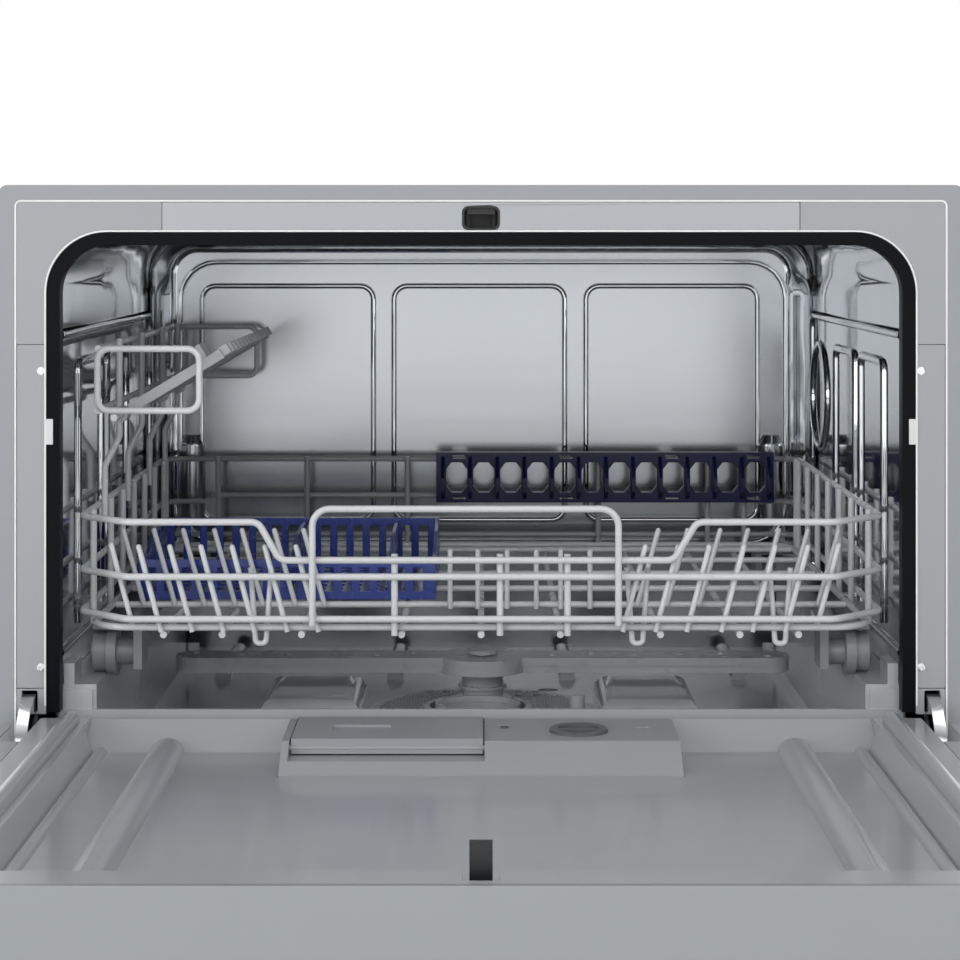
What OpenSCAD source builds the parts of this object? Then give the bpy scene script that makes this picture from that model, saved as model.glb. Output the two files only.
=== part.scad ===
// Countertop dishwasher with its door open level, at its real size in millimetres.
// Each module is drawn with y = 0 on the front frame's face: x runs across, y runs back, z runs up
// from the worktop. placed() then moves the piece to the origin, under the middle of the open machine.

/* [Casing] */
// Width over the casing
casing_w = 550; // [540:1:560]
// Height from the worktop
casing_h = 438; // [436:1:444]
// Depth of the casing behind the front frame
casing_d = 455; // [450:1:480]
// Thickness of the casing's steel sheet
casing_t = 1; // [0.6:0.1:1.4]
// Underside of the casing above the worktop
casing_z = 16; // [15:1:20]

/* [Tub] */
// Space between the steel tub and each side of the casing
side_space = 32; // [31:0.5:33]
// Space between the tub's ceiling and the top of the casing
top_space = 27; // [26:0.5:28]
// Space between the tub's back wall and the back of the casing
back_space = 21; // [20:0.5:24]
// Height of the moulded floor
floor_z = 100; // [96:1:102]

/* [Door] */
// Height of the hinge pins
hinge_z = 110; // [108:1:112]
// Distance of the hinge pins in front of the frame's face
hinge_y = -26; // [-27:1:-25]

/* [Basket] */
// Space between the side rails' centre lines and the tub
side_play = 8; // [8:0.5:10]
// Diameter of the rails
rail_d = 4; // [3.6:0.1:4]
// Diameter of the tines
tine_d = 3.2; // [2.8:0.1:3.4]
// Height of the top rail
rail_top = 244; // [240:1:246]
// Radius of a roller's flange
roller_r = 14; // [13:0.5:14]

/* [Spray arm] */
// Space between each tip and the tub's side
tip_space = 40.5; // [40:0.5:50]
// Depth of the arm's axle behind the frame
arm_y = 217; // [214:1:220]

/* [Hidden] */
$fn = 48;

half_w = casing_w / 2;
tub_x = half_w - side_space;            // half the width inside the tub
tub_top = casing_h - top_space;         // the tub's ceiling
tub_back = casing_d - back_space;       // the tub's back wall
basket_x = tub_x - side_play;           // centre line of the side rails
across = basket_x / 235;                // spacing across the basket, against the real machine's
arm_r = tub_x - tip_space;              // reach of the spray arm
door_l = casing_h - hinge_z + 24;       // door, from its hinge end to its free end
back_reach = 18;                        // how far the water connections stand out behind the casing
door_reach = door_l + 2;                // how far the open door reaches in front of the frame's face
front_y = (door_reach - casing_d - back_reach) / 2;
band_x = half_w - 9;                    // inner edge of the casing's front band
band_z = casing_h - 8.6;
trim_w = 1;
gasket_x = tub_x + 5;                        // outer edge of the gasket
gasket_z = tub_top + 0.2;
gasket_r = 35;
gasket_w = 7.6;
frame_y = 0.5;                          // front of the plastic frame pieces
flange_y = 6;                           // front of the tub's flange
seam = 0.3;                             // gap between neighbouring covers
corner_x = half_w - 93;                 // where the corner covers meet the top strip
corner_z = casing_h - 91;               // where they meet the side strips
cover_z = 151;                          // where the side strips meet the hinge covers
sill_z = 137;                           // top of the tub's front sill
ledge_x = tub_x - 21.7;                 // inner edge of the roller ledges
ledge_z = 150.9;
sump = [1, 190];                        // centre of the sump, across and back
filter = [-2, 150];                     // centre of the filter cylinder
gap = 0.05;                             // hairline between wires that lie against each other
weld = 0.01;                            // hairline between a wire's straight and bent lengths
wire_step = rail_d + gap;
rail_y = 15;                            // front rails
rear_y = tub_back - 24;                 // rear rails
rails = [188, 212.4, rail_top];
floor_wire_z = 182;
row_y = 106;                            // second row of tines
axle_z = 163;
axle_y = [55, tub_back - 49];
axle_r = 3;
shelf_axis = [19 - basket_x, 301.95];   // the cup shelf's wire, across and up
sheet = 1.5;                            // thickness of the moulded door liner
rim_z = 135;                            // rim of the open door's liner
pan_z = 121;                            // floor of its pan
skin_z = 78;                            // outer face of the open door
free_y = hinge_y - door_l + 24;         // free end of the open door
fascia_y = free_y + 64;                 // where the fascia meets the door's outer panel
liner_x = half_w - 25;                  // edge of the liner
bracket_x = half_w - 21;                // inner face of each hinge bracket
post = [60.7, 148];                     // vent post on the tub's floor
lid_pin = [-64.8, 131];                 // the detergent lid's pin, back and up
cap_xy = [54, -40];                     // the rinse aid cap
button_r = 7;

// Moves a piece to the part's own origin.
module placed() translate([0, front_y, 0]) children();

// Helpers: slabs along each direction, rounded outlines and mirrored pairs.
module y_slab(y0, y1) translate([0, y1, 0]) rotate([90, 0, 0]) linear_extrude(y1 - y0) children();
module x_slab(x0, x1)
  multmatrix([[0, 0, 1, x0], [1, 0, 0, 0], [0, 1, 0, 0], [0, 0, 0, 1]]) linear_extrude(x1 - x0) children();
module z_slab(z0, z1) translate([0, 0, z0]) linear_extrude(z1 - z0) children();
module block(a, b) translate(a) cube(b - a);
module both() {
  children();
  mirror([1, 0, 0]) children();
}
module rounded(a, b, r) {
  translate([a[0] + r, a[1]]) square([b[0] - a[0] - 2 * r, b[1] - a[1]]);
  translate([a[0], a[1] + r]) square([b[0] - a[0], b[1] - a[1] - 2 * r]);
  for (x = [a[0] + r, b[0] - r], y = [a[1] + r, b[1] - r]) translate([x, y]) circle(r);
}
// An arch outline: square at the bottom and rounded at the top corners.
module arch(x, z0, z1, r) {
  translate([-x, z0]) square([2 * x, z1 - z0 - r]);
  translate([r - x, z0]) square([2 * (x - r), z1 - z0]);
  for (s = [-1, 1]) translate([s * (x - r), z1 - r]) circle(r);
}
module rod_y(x, y0, y1, z, r) translate([x, y0, z]) rotate([-90, 0, 0]) cylinder(h = y1 - y0, r = r);
module rod_x(x0, x1, y, z, r) translate([x0, y, z]) rotate([0, 90, 0]) cylinder(h = x1 - x0, r = r);
module rod_z(x, y, z0, z1, r) translate([x, y, z0]) cylinder(h = z1 - z0, r = r);

// Bent wire: straight lengths and round elbows at the inner points, a hairline weld apart.
function unit(v) = v / norm(v);
function turn(a, b, c) = acos(max(-1, min(1, unit(b - a) * unit(c - b))));
function trim_at(a, b, c, r) = r * tan(turn(a, b, c) / 2);
module rod(a, b, d) {
  v = b - a;
  translate(a) rotate([0, acos(v[2] / norm(v)), atan2(v[1], v[0])]) cylinder(h = norm(v), d = d);
}
module elbow(a, b, c, r, d) {
  u = unit(b - a);
  n = unit(cross(u, unit(c - b)));
  q = cross(n, u);
  o = b - u * trim_at(a, b, c, r) + q * r;
  multmatrix([[-q[0], u[0], n[0], o[0]], [-q[1], u[1], n[1], o[1]], [-q[2], u[2], n[2], o[2]], [0, 0, 0, 1]])
    rotate_extrude(angle = turn(a, b, c)) translate([r, 0]) circle(d = d);
}
module wire(p, d, r) {
  last = len(p) - 1;
  for (i = [0 : last - 1]) {
    u = unit(p[i + 1] - p[i]);
    from = i == 0 ? p[i] : p[i] + u * (trim_at(p[i - 1], p[i], p[i + 1], r) + weld);
    to = i == last - 1 ? p[i + 1] : p[i + 1] - u * (trim_at(p[i], p[i + 1], p[i + 2], r) + weld);
    rod(from, to, d);
  }
  for (i = [1 : 1 : last - 1]) elbow(p[i - 1], p[i], p[i + 1], r, d);
}

// ---- Casing and base ----

module outer_casing() color("#9EA2A5") {
  y_slab(casing_t, casing_d - casing_t) difference() {
    arch(half_w, casing_z, casing_h, 5);
    arch(half_w - casing_t, casing_z - 1, casing_h - casing_t, 4);
  }
  y_slab(0, casing_t) difference() {
    arch(half_w, casing_z, casing_h, 5);
    arch(band_x, casing_z - 1, band_z, 3.5);
  }
}

inlet = [-150, 78];
drain = [-95, 78];
gland = [150, 78];
thread_r = 13.2;
module back_panel() color("#8B8E90") y_slab(casing_d - casing_t, casing_d) difference() {
  arch(half_w, casing_z, casing_h, 5);
  translate(inlet) circle(thread_r + 1);
  translate(drain) circle(10.5);
  translate(gland) circle(9);
  for (i = [0 : 7]) translate([150 + 10 * i, 300]) rounded([0, 0], [4, 40], 1.9);
}

module base_tray() color("#3A3C3F") difference() {
  union() {
    block([-half_w + casing_t, 3.2, 14], [half_w - casing_t, casing_d - casing_t, 60]);
    block([-band_x, 3.2, 59], [band_x, 6.2, 69]);
  }
  block([-half_w + 4, 6.2, 18], [half_w - 4, casing_d - 4, 71]);
}

module plinth_panel() color("#8F9396") {
  block([-band_x + 0.3, 1.2, 18], [band_x - 0.3, 3.2, 69.5]);
  for (i = [-1, 1]) block([i * 180 - 20, 0.4, 30], [i * 180 + 20, 1.2, 34]);
}

module levelling_feet() color("#1D1E20") for (x = [40 - half_w, half_w - 40], y = [35, casing_d - 30])
  translate([x, y, 0]) rotate_extrude() polygon([[0, 0], [15, 0], [17, 2], [17, 7], [14, 9], [7, 9], [7, 14], [0, 14]]);

// ---- Front frame ----

module frame_outline(z0) difference() {
  arch(band_x - trim_w, z0, band_z - trim_w, 2.5);
  arch(gasket_x, z0 - 1, gasket_z, gasket_r);
}
module frame_corner(side) y_slab(frame_y, flange_y) intersection() {
  frame_outline(corner_z + seam / 2);
  union() {
    translate([side > 0 ? corner_x + seam / 2 : -band_x, gasket_z - 40])
      square([band_x - corner_x - seam / 2, 70]);
    translate([side > 0 ? gasket_x - 1 : -band_x, corner_z]) square([band_x - gasket_x + 1, 70]);
  }
}
module frame_corner_left() color("#A6A8AC") frame_corner(-1);
module frame_corner_right() color("#A6A8AC") frame_corner(1);

slot_a = [-9.5, tub_top + 2.4];
slot_b = [9.5, tub_top + 13.8];
module frame_top_strip() color("#B7B9BD") y_slab(frame_y, flange_y) difference() {
  translate([-corner_x + seam / 2, gasket_z]) square([2 * corner_x - seam, band_z - trim_w - gasket_z]);
  rounded(slot_a - [1, 1], slot_b + [1, 1], 3.5);
}

module frame_side_strips() color("#A9ABAF") both()
  block([gasket_x, frame_y, cover_z], [band_x - trim_w, flange_y, corner_z - seam / 2]);

module frame_trim() color("#F1F2F2") y_slab(-0.2, 5) difference() {
  arch(band_x, 70, band_z, 3.5);
  arch(band_x - trim_w, 69, band_z - trim_w, 2.5);
}

module hinge_covers() color("#A9ABAF") both() difference() {
  block([gasket_x, frame_y, sill_z - 1], [band_x - trim_w, flange_y, cover_z - seam]);
  block([bracket_x - 1, 0, sill_z], [bracket_x + 8, 7, 149.5]);
}

module frame_screws() color("#C9CBCC") both() for (z = [163, corner_z - 15]) difference() {
  rod_y(gasket_x + 2.9, -0.4, frame_y, z, 2.3);
  block([gasket_x + 1.5, -1, z - 0.3], [gasket_x + 4.3, -0.1, z + 0.3]);
}

module buffer_clips() color("#D8D9DA") both() block([gasket_x - 4, -0.5, 290], [gasket_x + 1, 0.5, 304.5]);

module latch_strike() color("#7E8184") {
  y_slab(0.1, 7.1) difference() {
    rounded(slot_a - [0.95, 0.95], slot_b + [0.95, 0.95], 3.4);
    rounded(slot_a, slot_b, 3);
  }
  difference() {
    block([-14, 7.1, tub_top + 1.05], [14, 24, tub_top + 17]);
    block([-9.5, 7, tub_top - 1], [9.5, 21, tub_top + 14]);
  }
  block([-8, 3, tub_top + 10.3], [8, 9, tub_top + 13.8]);
  block([-8, 7.1, tub_top + 13.7], [8, 9, tub_top + 14.1]);
  for (x = [-7.4, 7.4]) block([x - 0.8, 12, tub_top + 1.05], [x + 0.8, 14, tub_top + 14.1]);
}

module tub_gasket() color("#0A0D14") {
  inner_x = gasket_x - gasket_w;
  y_slab(0.8, flange_y) difference() {
    arch(gasket_x - 0.05, sill_z, gasket_z - 0.05, gasket_r);
    arch(inner_x, sill_z - 1, gasket_z - gasket_w, gasket_r - gasket_w);
  }
  y_slab(flange_y, 12) difference() {
    arch(tub_x - 0.3, sill_z, tub_top - 0.3, 29.7);
    arch(inner_x, sill_z - 1, gasket_z - gasket_w, gasket_r - gasket_w);
  }
}

// ---- Tub ----

step_z = tub_top - 59;                  // the long pressed step on each side wall
step_back = tub_back - 48;
side_panels = [[78, 164], [187, 271]];  // front and back edges of the pressed panels under it
module tub_wrap() color("#B9BBBD") {
  y_slab(7, tub_back) difference() {
    arch(tub_x + 1, 98, tub_top + 1, 31);
    arch(tub_x, 97, tub_top, 30);
  }
  y_slab(flange_y, 7) difference() {
    arch(band_x - 4, 152, tub_top + 16, 20);
    arch(tub_x, 151, tub_top, 30);
    translate([-14, tub_top + 0.5]) square([28, 14.5]);
  }
  both() {
    for (z = [168, step_z]) rod_y(tub_x + 1, 20, step_back, z, 3);
    rod_z(tub_x + 1, step_back, 172, step_z - 4, 3);
    for (ends = side_panels) {
      rod_y(tub_x + 1, ends[0] + 4, ends[1] - 4, step_z - 19, 3);
      for (y = ends) rod_z(tub_x + 1, y, 178, step_z - 23, 3);
    }
  }
  translate([tub_x - 0.5, tub_back - 87, 295]) rotate([0, 90, 0])
    rotate_extrude() translate([37, 0]) circle(1.8);
}

// A pressed bead around a panel: a low wide step under a narrow one.
module bead(a, b, r, w) {
  for (step = [[w, 0.9], [w - 2, 1.7]]) y_slab(tub_back - step[1], tub_back) difference() {
    rounded(a - [1, 1] * step[0] / 2, b + [1, 1] * step[0] / 2, r + step[0] / 2);
    rounded(a + [1, 1] * step[0] / 2, b - [1, 1] * step[0] / 2, r - step[0] / 2);
  }
}
module tub_back_wall() color("#C3C5C6") {
  y_slab(tub_back, tub_back + 1) arch(tub_x + 1, 98, tub_top + 1, 31);
  bead([17 - tub_x, 179], [tub_x - 14, tub_top - 21], 27, 5.4);
  for (x = [[-210, -81], [-65.5, 63], [79, 208]] * across) bead([x[0], 196], [x[1], tub_top - 39], 10, 4.4);
  difference() {
    for (x = [25.5 - tub_x, tub_x - 25]) {
      rod_z(x, tub_back, 196, 252, 10);
      translate([x, tub_back, 252]) cylinder(h = 8, r1 = 10, r2 = 6);
    }
    block([-tub_x, tub_back + 0.5, 190], [tub_x, tub_back + 20, 265]);
  }
}

hump_x = [[-140, -76], [75, 138]];
module tub_floor() color("#6A6D71") {
  difference() {
    block([-tub_x + 0.3, 13, floor_z - 3], [tub_x - 0.3, tub_back - 0.3, floor_z]);
    rod_z(sump[0], sump[1], floor_z - 4, floor_z + 1, 70);
    translate([46, 264, floor_z]) scale([1.4, 1, 1]) rod_z(0, 0, -1.2, 1, 5);
  }
  block([0.3 - tub_x, 10, 70], [tub_x - 0.3, 13, sill_z]);
  x_slab(-ledge_x, ledge_x) polygon([[12.5, floor_z - 1], [28, floor_z - 1], [28, floor_z], [12.5, 119]]);
  both() {
    block([ledge_x, 13, floor_z], [ledge_x + 3, tub_back - 9, ledge_z]);
    block([ledge_x, 13, ledge_z - 3], [tub_x - 0.3, tub_back - 9, ledge_z]);
    block([tub_x - 9, 13, ledge_z], [tub_x - 3, 38, ledge_z + 12]);
    block([ledge_x - 13.3, 60, floor_z], [ledge_x, tub_back - 34, floor_z + 9]);
  }
  for (h = hump_x) intersection() {
    y_slab(139, 232) rounded([h[0], 80], [h[1], 118], 12);
    x_slab(h[0], h[1]) rounded([139, 80], [232, 118], 14);
    block([h[0] - 1, 130, floor_z - 2], [h[1] + 1, 240, 119]);
  }
  for (x = [-180, -60, 60, 180]) rod_y(x, 300, tub_back - 19, floor_z, 6);
  difference() {
    rod_z(post[0], post[1], floor_z, 119, 5);
    for (x = [-2.5, 0, 2.5]) rod_z(post[0] + x, post[1] - 1.5, 118, 120, 0.9);
  }
}

module sump_housing() color("#55585B") difference() {
  rod_z(sump[0], sump[1], 55, floor_z - 3, 74);
  rod_z(sump[0], sump[1], 58, floor_z, 71);
}

module filter_plate() color("#85888B") {
  difference() {
    rod_z(sump[0], sump[1], floor_z, floor_z + 1.5, 73.5);
    rod_z(sump[0], arm_y, floor_z - 1, floor_z + 3, 14);
    rod_z(filter[0], filter[1], floor_z - 1, floor_z + 3, 27.8);
    rod_z(post[0], post[1], floor_z - 1, floor_z + 3, 5.4);
  }
  difference() {
    rod_z(filter[0], filter[1], floor_z, 112, 34);
    rod_z(filter[0], filter[1], floor_z - 1, 113, 30.5);
  }
  for (y = [240, 250], x = [-36 : 12 : 36]) rod_z(sump[0] + x, y, floor_z + 1.4, floor_z + 2.2, 2);
}

module spray_hub() color("#8B8D8F") {
  rod_z(sump[0], arm_y, 58, 121, 13.5);
  rod_z(sump[0], arm_y, 102, 105, 18);
  rod_z(sump[0], arm_y, 111, 113, 16);
  rod_z(sump[0], arm_y, 120, 133.6, 6);
  rod_z(sump[0], arm_y, 133.4, 136, 10);
}

// Pumps, heater and connections, each standing on the base tray.
module wash_pump() color("#4B4E52") {
  rod_x(77, 104, sump[1], 57, 36);
  rod_x(104, 172, sump[1], 57, 27);
  rod_x(75.1, 77, sump[1], 76, 10);
  for (x = [84, 150]) block([x, 170, 18], [x + 12, 210, 40]);
}
module flow_heater() color("#A7A9AB") {
  rod_y(205, 130, 240, 62, 18);
  for (y = [140, 222]) block([193, y, 18], [217, y + 8, 50]);
}
module drain_pump() color("#2E3033") {
  rod_x(-160, -74, sump[1], 46, 24);
  rod_x(-160, -140, sump[1], 46, 26);
  block([-130, 175, 18], [-118, 205, 30]);
}
module rear_pipe(at, r, bore) {
  tray_wall = casing_d - 5;
  difference() {
    union() {
      block([at[0] - 19, tray_wall - 34, 62], [at[0] + 19, tray_wall, 94]);
      block([at[0] - 12, tray_wall - 30, 18], [at[0] + 12, tray_wall - 10, 62]);
      rod_y(at[0], tray_wall, casing_d + back_reach, at[1], r);
    }
    rod_y(at[0], tray_wall + 1, casing_d + back_reach + 1, at[1], bore);
  }
}
module inlet_valve() color("#D9DADB") rear_pipe(inlet, thread_r, 9);
module drain_spigot() color("#5A5D60") rear_pipe(drain, 9.5, 7.5);
module cord_gland() color("#1D1E20") difference() {
  union() {
    rod_y(gland[0], casing_d - 6, casing_d, gland[1], 8.9);
    rod_y(gland[0], casing_d, casing_d + 5, gland[1], 12);
  }
  rod_y(gland[0], casing_d - 7, casing_d + 6, gland[1], 4);
}

// A bracket on each side reaches out through the hinge cover and carries the door's pin.
pin_r = 4;
module hinge_brackets() color("#C2C4C5") both() x_slab(bracket_x, bracket_x + 7) difference() {
  union() {
    difference() {
      translate([8, hinge_z - 1]) circle(39);
      translate([8, hinge_z - 1]) circle(29);
      translate([8, 0]) square([60, 200]);
      translate([-60, 0]) square([120, hinge_z - 1]);
    }
    translate([8, 18]) square([30, 130]);
    translate([hinge_y, hinge_z]) circle(9);
  }
  translate([hinge_y, hinge_z]) circle(pin_r + 0.05);
}

// ---- Spray arm and filter ----

module arm_outline(w) {
  translate([-arm_r + w / 2, -w / 2]) square([2 * arm_r - w, w]);
  for (s = [-1, 1]) translate([s * (arm_r - w / 2), 0]) circle(w / 2);
  circle(29.5);
}
module spray_arm_lower() color("#5F6265") translate([sump[0], arm_y, 0]) difference() {
  z_slab(122.5, 127.4) arm_outline(27);
  rod_z(0, 0, 120, 130, 6.08);
}
module spray_arm_upper() color("#6F7174") translate([sump[0], arm_y, 0]) {
  difference() {
    z_slab(127.4, 132.5) arm_outline(29);
    rod_z(0, 0, 120, 135, 6.08);
  }
  for (x = [-190, -160, -128, -98, -70, -46, 46, 72, 100, 130, 158, 188] * across)
    rod_z(x, sin(x * 7) * 7, 132.4, 133.3, 2.4);
}
module filter_cylinder() color("#7A7D80") translate([filter[0], filter[1], 0]) {
  difference() {
    rod_z(0, 0, 62, 106, 27);
    rod_z(0, 0, 65, 107, 24);
  }
  difference() {
    rod_z(0, 0, 105, 114, 27);
    rod_z(0, 0, 104, 115, 24);
    block([-20, -30, 109], [20, 30, 115]);
  }
}

// ---- Door ----

module door_outer_panel() color("#9EA2A5") {
  block([-half_w + 2, fascia_y, skin_z], [half_w - 2, -4, skin_z + 1]);
  both() {
    x_slab(half_w - 3, half_w - 2)
      polygon([[fascia_y, skin_z], [-4, skin_z], [-4, 100], [-8, hinge_z], [-21, rim_z], [fascia_y, rim_z]]);
    block([liner_x + 0.4, fascia_y, rim_z - 1], [half_w - 2, -67, rim_z]);
    block([bracket_x + 9, -67, rim_z - 1], [half_w - 2, -21, rim_z]);
  }
}

// The liner's upper surface in section, lowered and thinned by e.
module liner_section(e) {
  x = liner_x;
  translate([33 - x, 117 - e]) square([2 * (x - 33), pan_z - 117]);
  for (s = [-1, 1]) scale([s, 1]) {
    polygon([[x - 34, 117 - e], [x - 34, pan_z - e], [x - 34 + e, pan_z - e], [x - 28 + e, rim_z - e],
             [x - e, rim_z - e], [x - e, 117 - e]]);
    translate([x - 75, pan_z - 2]) circle(10 - e);
    translate([x - 38, pan_z - 1]) circle(4 - e);
  }
}
module liner_shell(y0, y1) y_slab(y0, y1) difference() {
  intersection() {
    liner_section(0);
    translate([-260, 117]) square([520, 60]);
  }
  liner_section(sheet);
}
bead_y = free_y + 54;                   // outer end of the two long beads, short of the gasket's corners
module door_liner() color("#B4B7B9") {
  difference() {
    union() {
      liner_shell(free_y + 39, -30);
      both() {
        intersection() {
          liner_shell(-30, -4);
          block([liner_x - 27.5, -30, 110], [liner_x + 1, -18, 150]);
        }
        block([liner_x - 28, -20, rim_z - sheet], [liner_x, -4.7, rim_z]);
        block([liner_x - 28, free_y + 3.3, rim_z - sheet], [liner_x, free_y + 39, rim_z]);
        intersection() {
          union() {
            rod_y(liner_x - 19, bead_y, -18, rim_z + 1.5, 5);
            for (y = [bead_y, -18]) translate([liner_x - 19, y, rim_z + 1.5]) sphere(5);
          }
          block([liner_x - 30, bead_y - 9, rim_z - 1], [liner_x - 10, 0, 150]);
        }
      }
      x_slab(27.2 - liner_x, liner_x - 27.2) {
        polygon([[-4, rim_z - 0.6], [-30, pan_z], [-30, pan_z - sheet], [-6, rim_z - 3.6], [-6, 118], [-4, 118]]);
        polygon([[free_y + 3.3, rim_z], [free_y + 24, rim_z], [free_y + 39, pan_z],
                 [free_y + 39, pan_z - sheet], [free_y + 38, pan_z - sheet], [free_y + 23, rim_z - sheet],
                 [free_y + 3.3, rim_z - sheet]]);
      }
    }
    block([-108.4, -90.4, 100], [108.4, -5.6, 140]);
    block([-8, free_y + 8, 110], [8, free_y + 36, 150]);
  }
}

// The fascia, its buttons and what lies behind them are drawn on the closed door, then laid open.
module laid_open() translate([0, hinge_y, hinge_z]) rotate([90, 0, 0]) translate([0, -hinge_y, -hinge_z])
  children();
face_y = hinge_y - hinge_z + skin_z;    // outer face of the closed door
button_z = casing_h - 27;
button_x = [-228, 176, 214];
hook_pin = [-18, casing_h - 19.5];                // pivot of the latch hook, on the closed door
handle = [casing_h - 58, casing_h - 34];  // bottom and top of the grip's pocket
screen = [casing_h - 40, casing_h - 14];  // bottom and top of the window
module door_fascia() color("#8F9396") laid_open() {
  difference() {
    block([-half_w + 2, face_y, casing_h - 63.7], [half_w - 2, -1, casing_h]);
    block([-half_w + 5, face_y + 3, casing_h - 68], [half_w - 5, 0, casing_h - 3]);
    block([-70, face_y - 1, handle[0]], [70, face_y + 4, handle[1]]);
    block([84, face_y - 1, screen[0]], [152, face_y + 4, screen[1]]);
    for (x = button_x) rod_y(x, face_y - 1, face_y + 4, button_z, button_r + 0.3);
  }
  difference() {
    block([-73, face_y + 3, handle[0] - 3], [73, face_y + 30, handle[1] + 3]);
    block([-70, face_y + 2, handle[0]], [70, face_y + 27, handle[1]]);
  }
  for (x = [90, half_w - 39], z = [casing_h - 50, casing_h - 8]) rod_y(x, face_y + 3, face_y + 14, z, 3);
  both() difference() {
    block([7.4, -25, hook_pin[1] - 7.5], [10.4, -12, casing_h - 2.5]);
    rod_x(7, 11, hook_pin[0], hook_pin[1], 3.06);
  }
}
module display_window() color("#15181C") laid_open()
  block([84.2, face_y + 0.6, screen[0] + 0.2], [151.8, face_y + 3, screen[1] - 0.2]);
module control_board() color("#2F5A3C") laid_open() {
  block([86, face_y + 14, casing_h - 54], [half_w - 35, face_y + 15.6, casing_h - 4]);
  block([100, face_y + 15.6, casing_h - 46], [130, face_y + 24, casing_h - 18]);
}
module button(i) laid_open() {
  rod_y(button_x[i], face_y - 1.5, face_y + 6, button_z, button_r);
  rod_y(button_x[i], face_y + 3.5, face_y + 6, button_z, button_r + 2);
}
module power_button() color("#C9CBCC") button(0);
module program_button() color("#C9CBCC") button(1);
module start_button() color("#C9CBCC") button(2);
module latch_hook() color("#55585B") laid_open() {
  low = hook_pin[1] - 2;
  block([-5, -22, low], [5, 13, low + 4]);
  block([-5, 9.5, low], [5, 13, low + 5.3]);
  rod_x(-10, 10, hook_pin[0], hook_pin[1], 3);
}

module door_hinge_arms() color("#C2C4C5") both() x_slab(bracket_x + 8.3, bracket_x + 10.3) difference() {
  union() {
    translate([hinge_y, hinge_z]) circle(10);
    polygon([[-150, skin_z + 1.3], [-12, skin_z + 1.3], [-17, hinge_z], [-35, hinge_z], [-60, 92], [-150, 92]]);
  }
  translate([hinge_y, hinge_z]) circle(pin_r + 0.03);
}
module door_hinge_pins() color("#D9DADB") both() {
  rod_x(bracket_x - 1.6, bracket_x + 10.3, hinge_y, hinge_z, pin_r);
  rod_x(bracket_x + 10.3, bracket_x + 12.3, hinge_y, hinge_z, 6.5);
}
module door_bottom_seal() color("#1B1C1F")
  x_slab(3 - tub_x, tub_x - 3) polygon([[-4, 121], [-2.4, 123], [-2.4, 130], [-4, 132]]);

// Detergent and rinse aid dispenser.
module dispenser_housing() color("#8E9093") difference() {
  x_slab(-108, 108) polygon([[-6, 84], [-6, rim_z], [-66, rim_z], [-90, pan_z + 0.5], [-90, 84]]);
  block([-104, -91, 127], [2, -60, rim_z + 1]);
  block([-104, -62, 132.4], [2, -6.3, rim_z + 1]);
  z_slab(97, 134) rounded([-97, -58], [-6, -13], 8);
  rod_x(-106, 4, lid_pin[0], lid_pin[1], 1.56);
  rod_z(cap_xy[0], cap_xy[1], 130.6, 137, 16.3);
  rod_z(cap_xy[0], cap_xy[1], 104, 137, 9.8);
  for (x = [13, 90]) z_slab(rim_z - 1, rim_z + 1) rounded([x - 4, -33], [x + 4, -29], 1.9);
}
module detergent_lid() color("#96989B") {
  difference() {
    block([-103, -66, 132.7], [1, -6.8, 136.2]);
    z_slab(134.9, 137) rounded([-82, -45], [-50, -29], 2);
  }
  block([-103, -66, 128], [1, -63.6, 132.8]);
  rod_x(-105.5, 3.5, lid_pin[0], lid_pin[1], 1.5);
}
module rinse_aid_cap() color("#8B8D90") translate([cap_xy[0], cap_xy[1], 0]) {
  difference() {
    rod_z(0, 0, 131, 136.6, 16);
    rod_z(0, 0, 133, 138, 11.5);
  }
  block([-11.9, -1.6, 132.5], [11.9, 1.6, 136.2]);
  rod_z(0, 0, 112, 131.1, 9.5);
}

// ---- Basket ----

dip = [[-128.5, -116], [124.5, 111]] * across; // ends of the dip's slopes in the front top rail: high, low
dip_z = 222;
bend_x = basket_x - 31;                 // where the front corners begin
rail_end_x = bend_x - 8;                // where the front and side wires meet
rear_start_y = rear_y - 22;             // where the side and rear wires meet
upright_x = basket_x - wire_step;

module basket_front_fence() color("#C4C4C2") {
  y = rail_y;
  wire([[-rail_end_x, y, rail_top], [dip[0][0], y, rail_top], [dip[0][1], y, dip_z],
        [dip[1][1], y, dip_z], [dip[1][0], y, rail_top], [rail_end_x, y, rail_top]], rail_d, 7);
  for (z = [rails[0], rails[1]]) rod([-rail_end_x, y, z], [rail_end_x, y, z], rail_d);
  for (x = [-50, 11, 50] * across) rod([x, y + wire_step, 178], [x, y + wire_step, dip_z + 3], rail_d);
  wire([[-97, y - wire_step, 185], [-97, y - wire_step, 252], [79, y - wire_step, 252],
        [79, y - wire_step, 185]], rail_d, 10);
  foot_y = floor_front_y + rail_d / 2 + tine_d / 2 + gap;
  for (x = [-128, 91, 174] * across)
    wire([[x - 6, foot_y, 216], [x - 3, foot_y, 172], [x + 3, foot_y, 172], [x + 6, foot_y, 216]], tine_d, 2.5);
}

module basket_side_fences() color("#C4C4C2") {
  both() {
    for (z = rails) wire([[rail_end_x, rail_y, z], [bend_x, rail_y, z], [basket_x, rail_y + 31, z],
                          [basket_x, rear_start_y, z]], rail_d, 10);
    for (y = concat([62, rear_start_y - 2], [for (i = [0 : 5]) 128 + i * (tub_back - 189) / 5]))
      rod([upright_x, y, 178], [upright_x, y, rail_top + 2], rail_d);
  }
}

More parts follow.
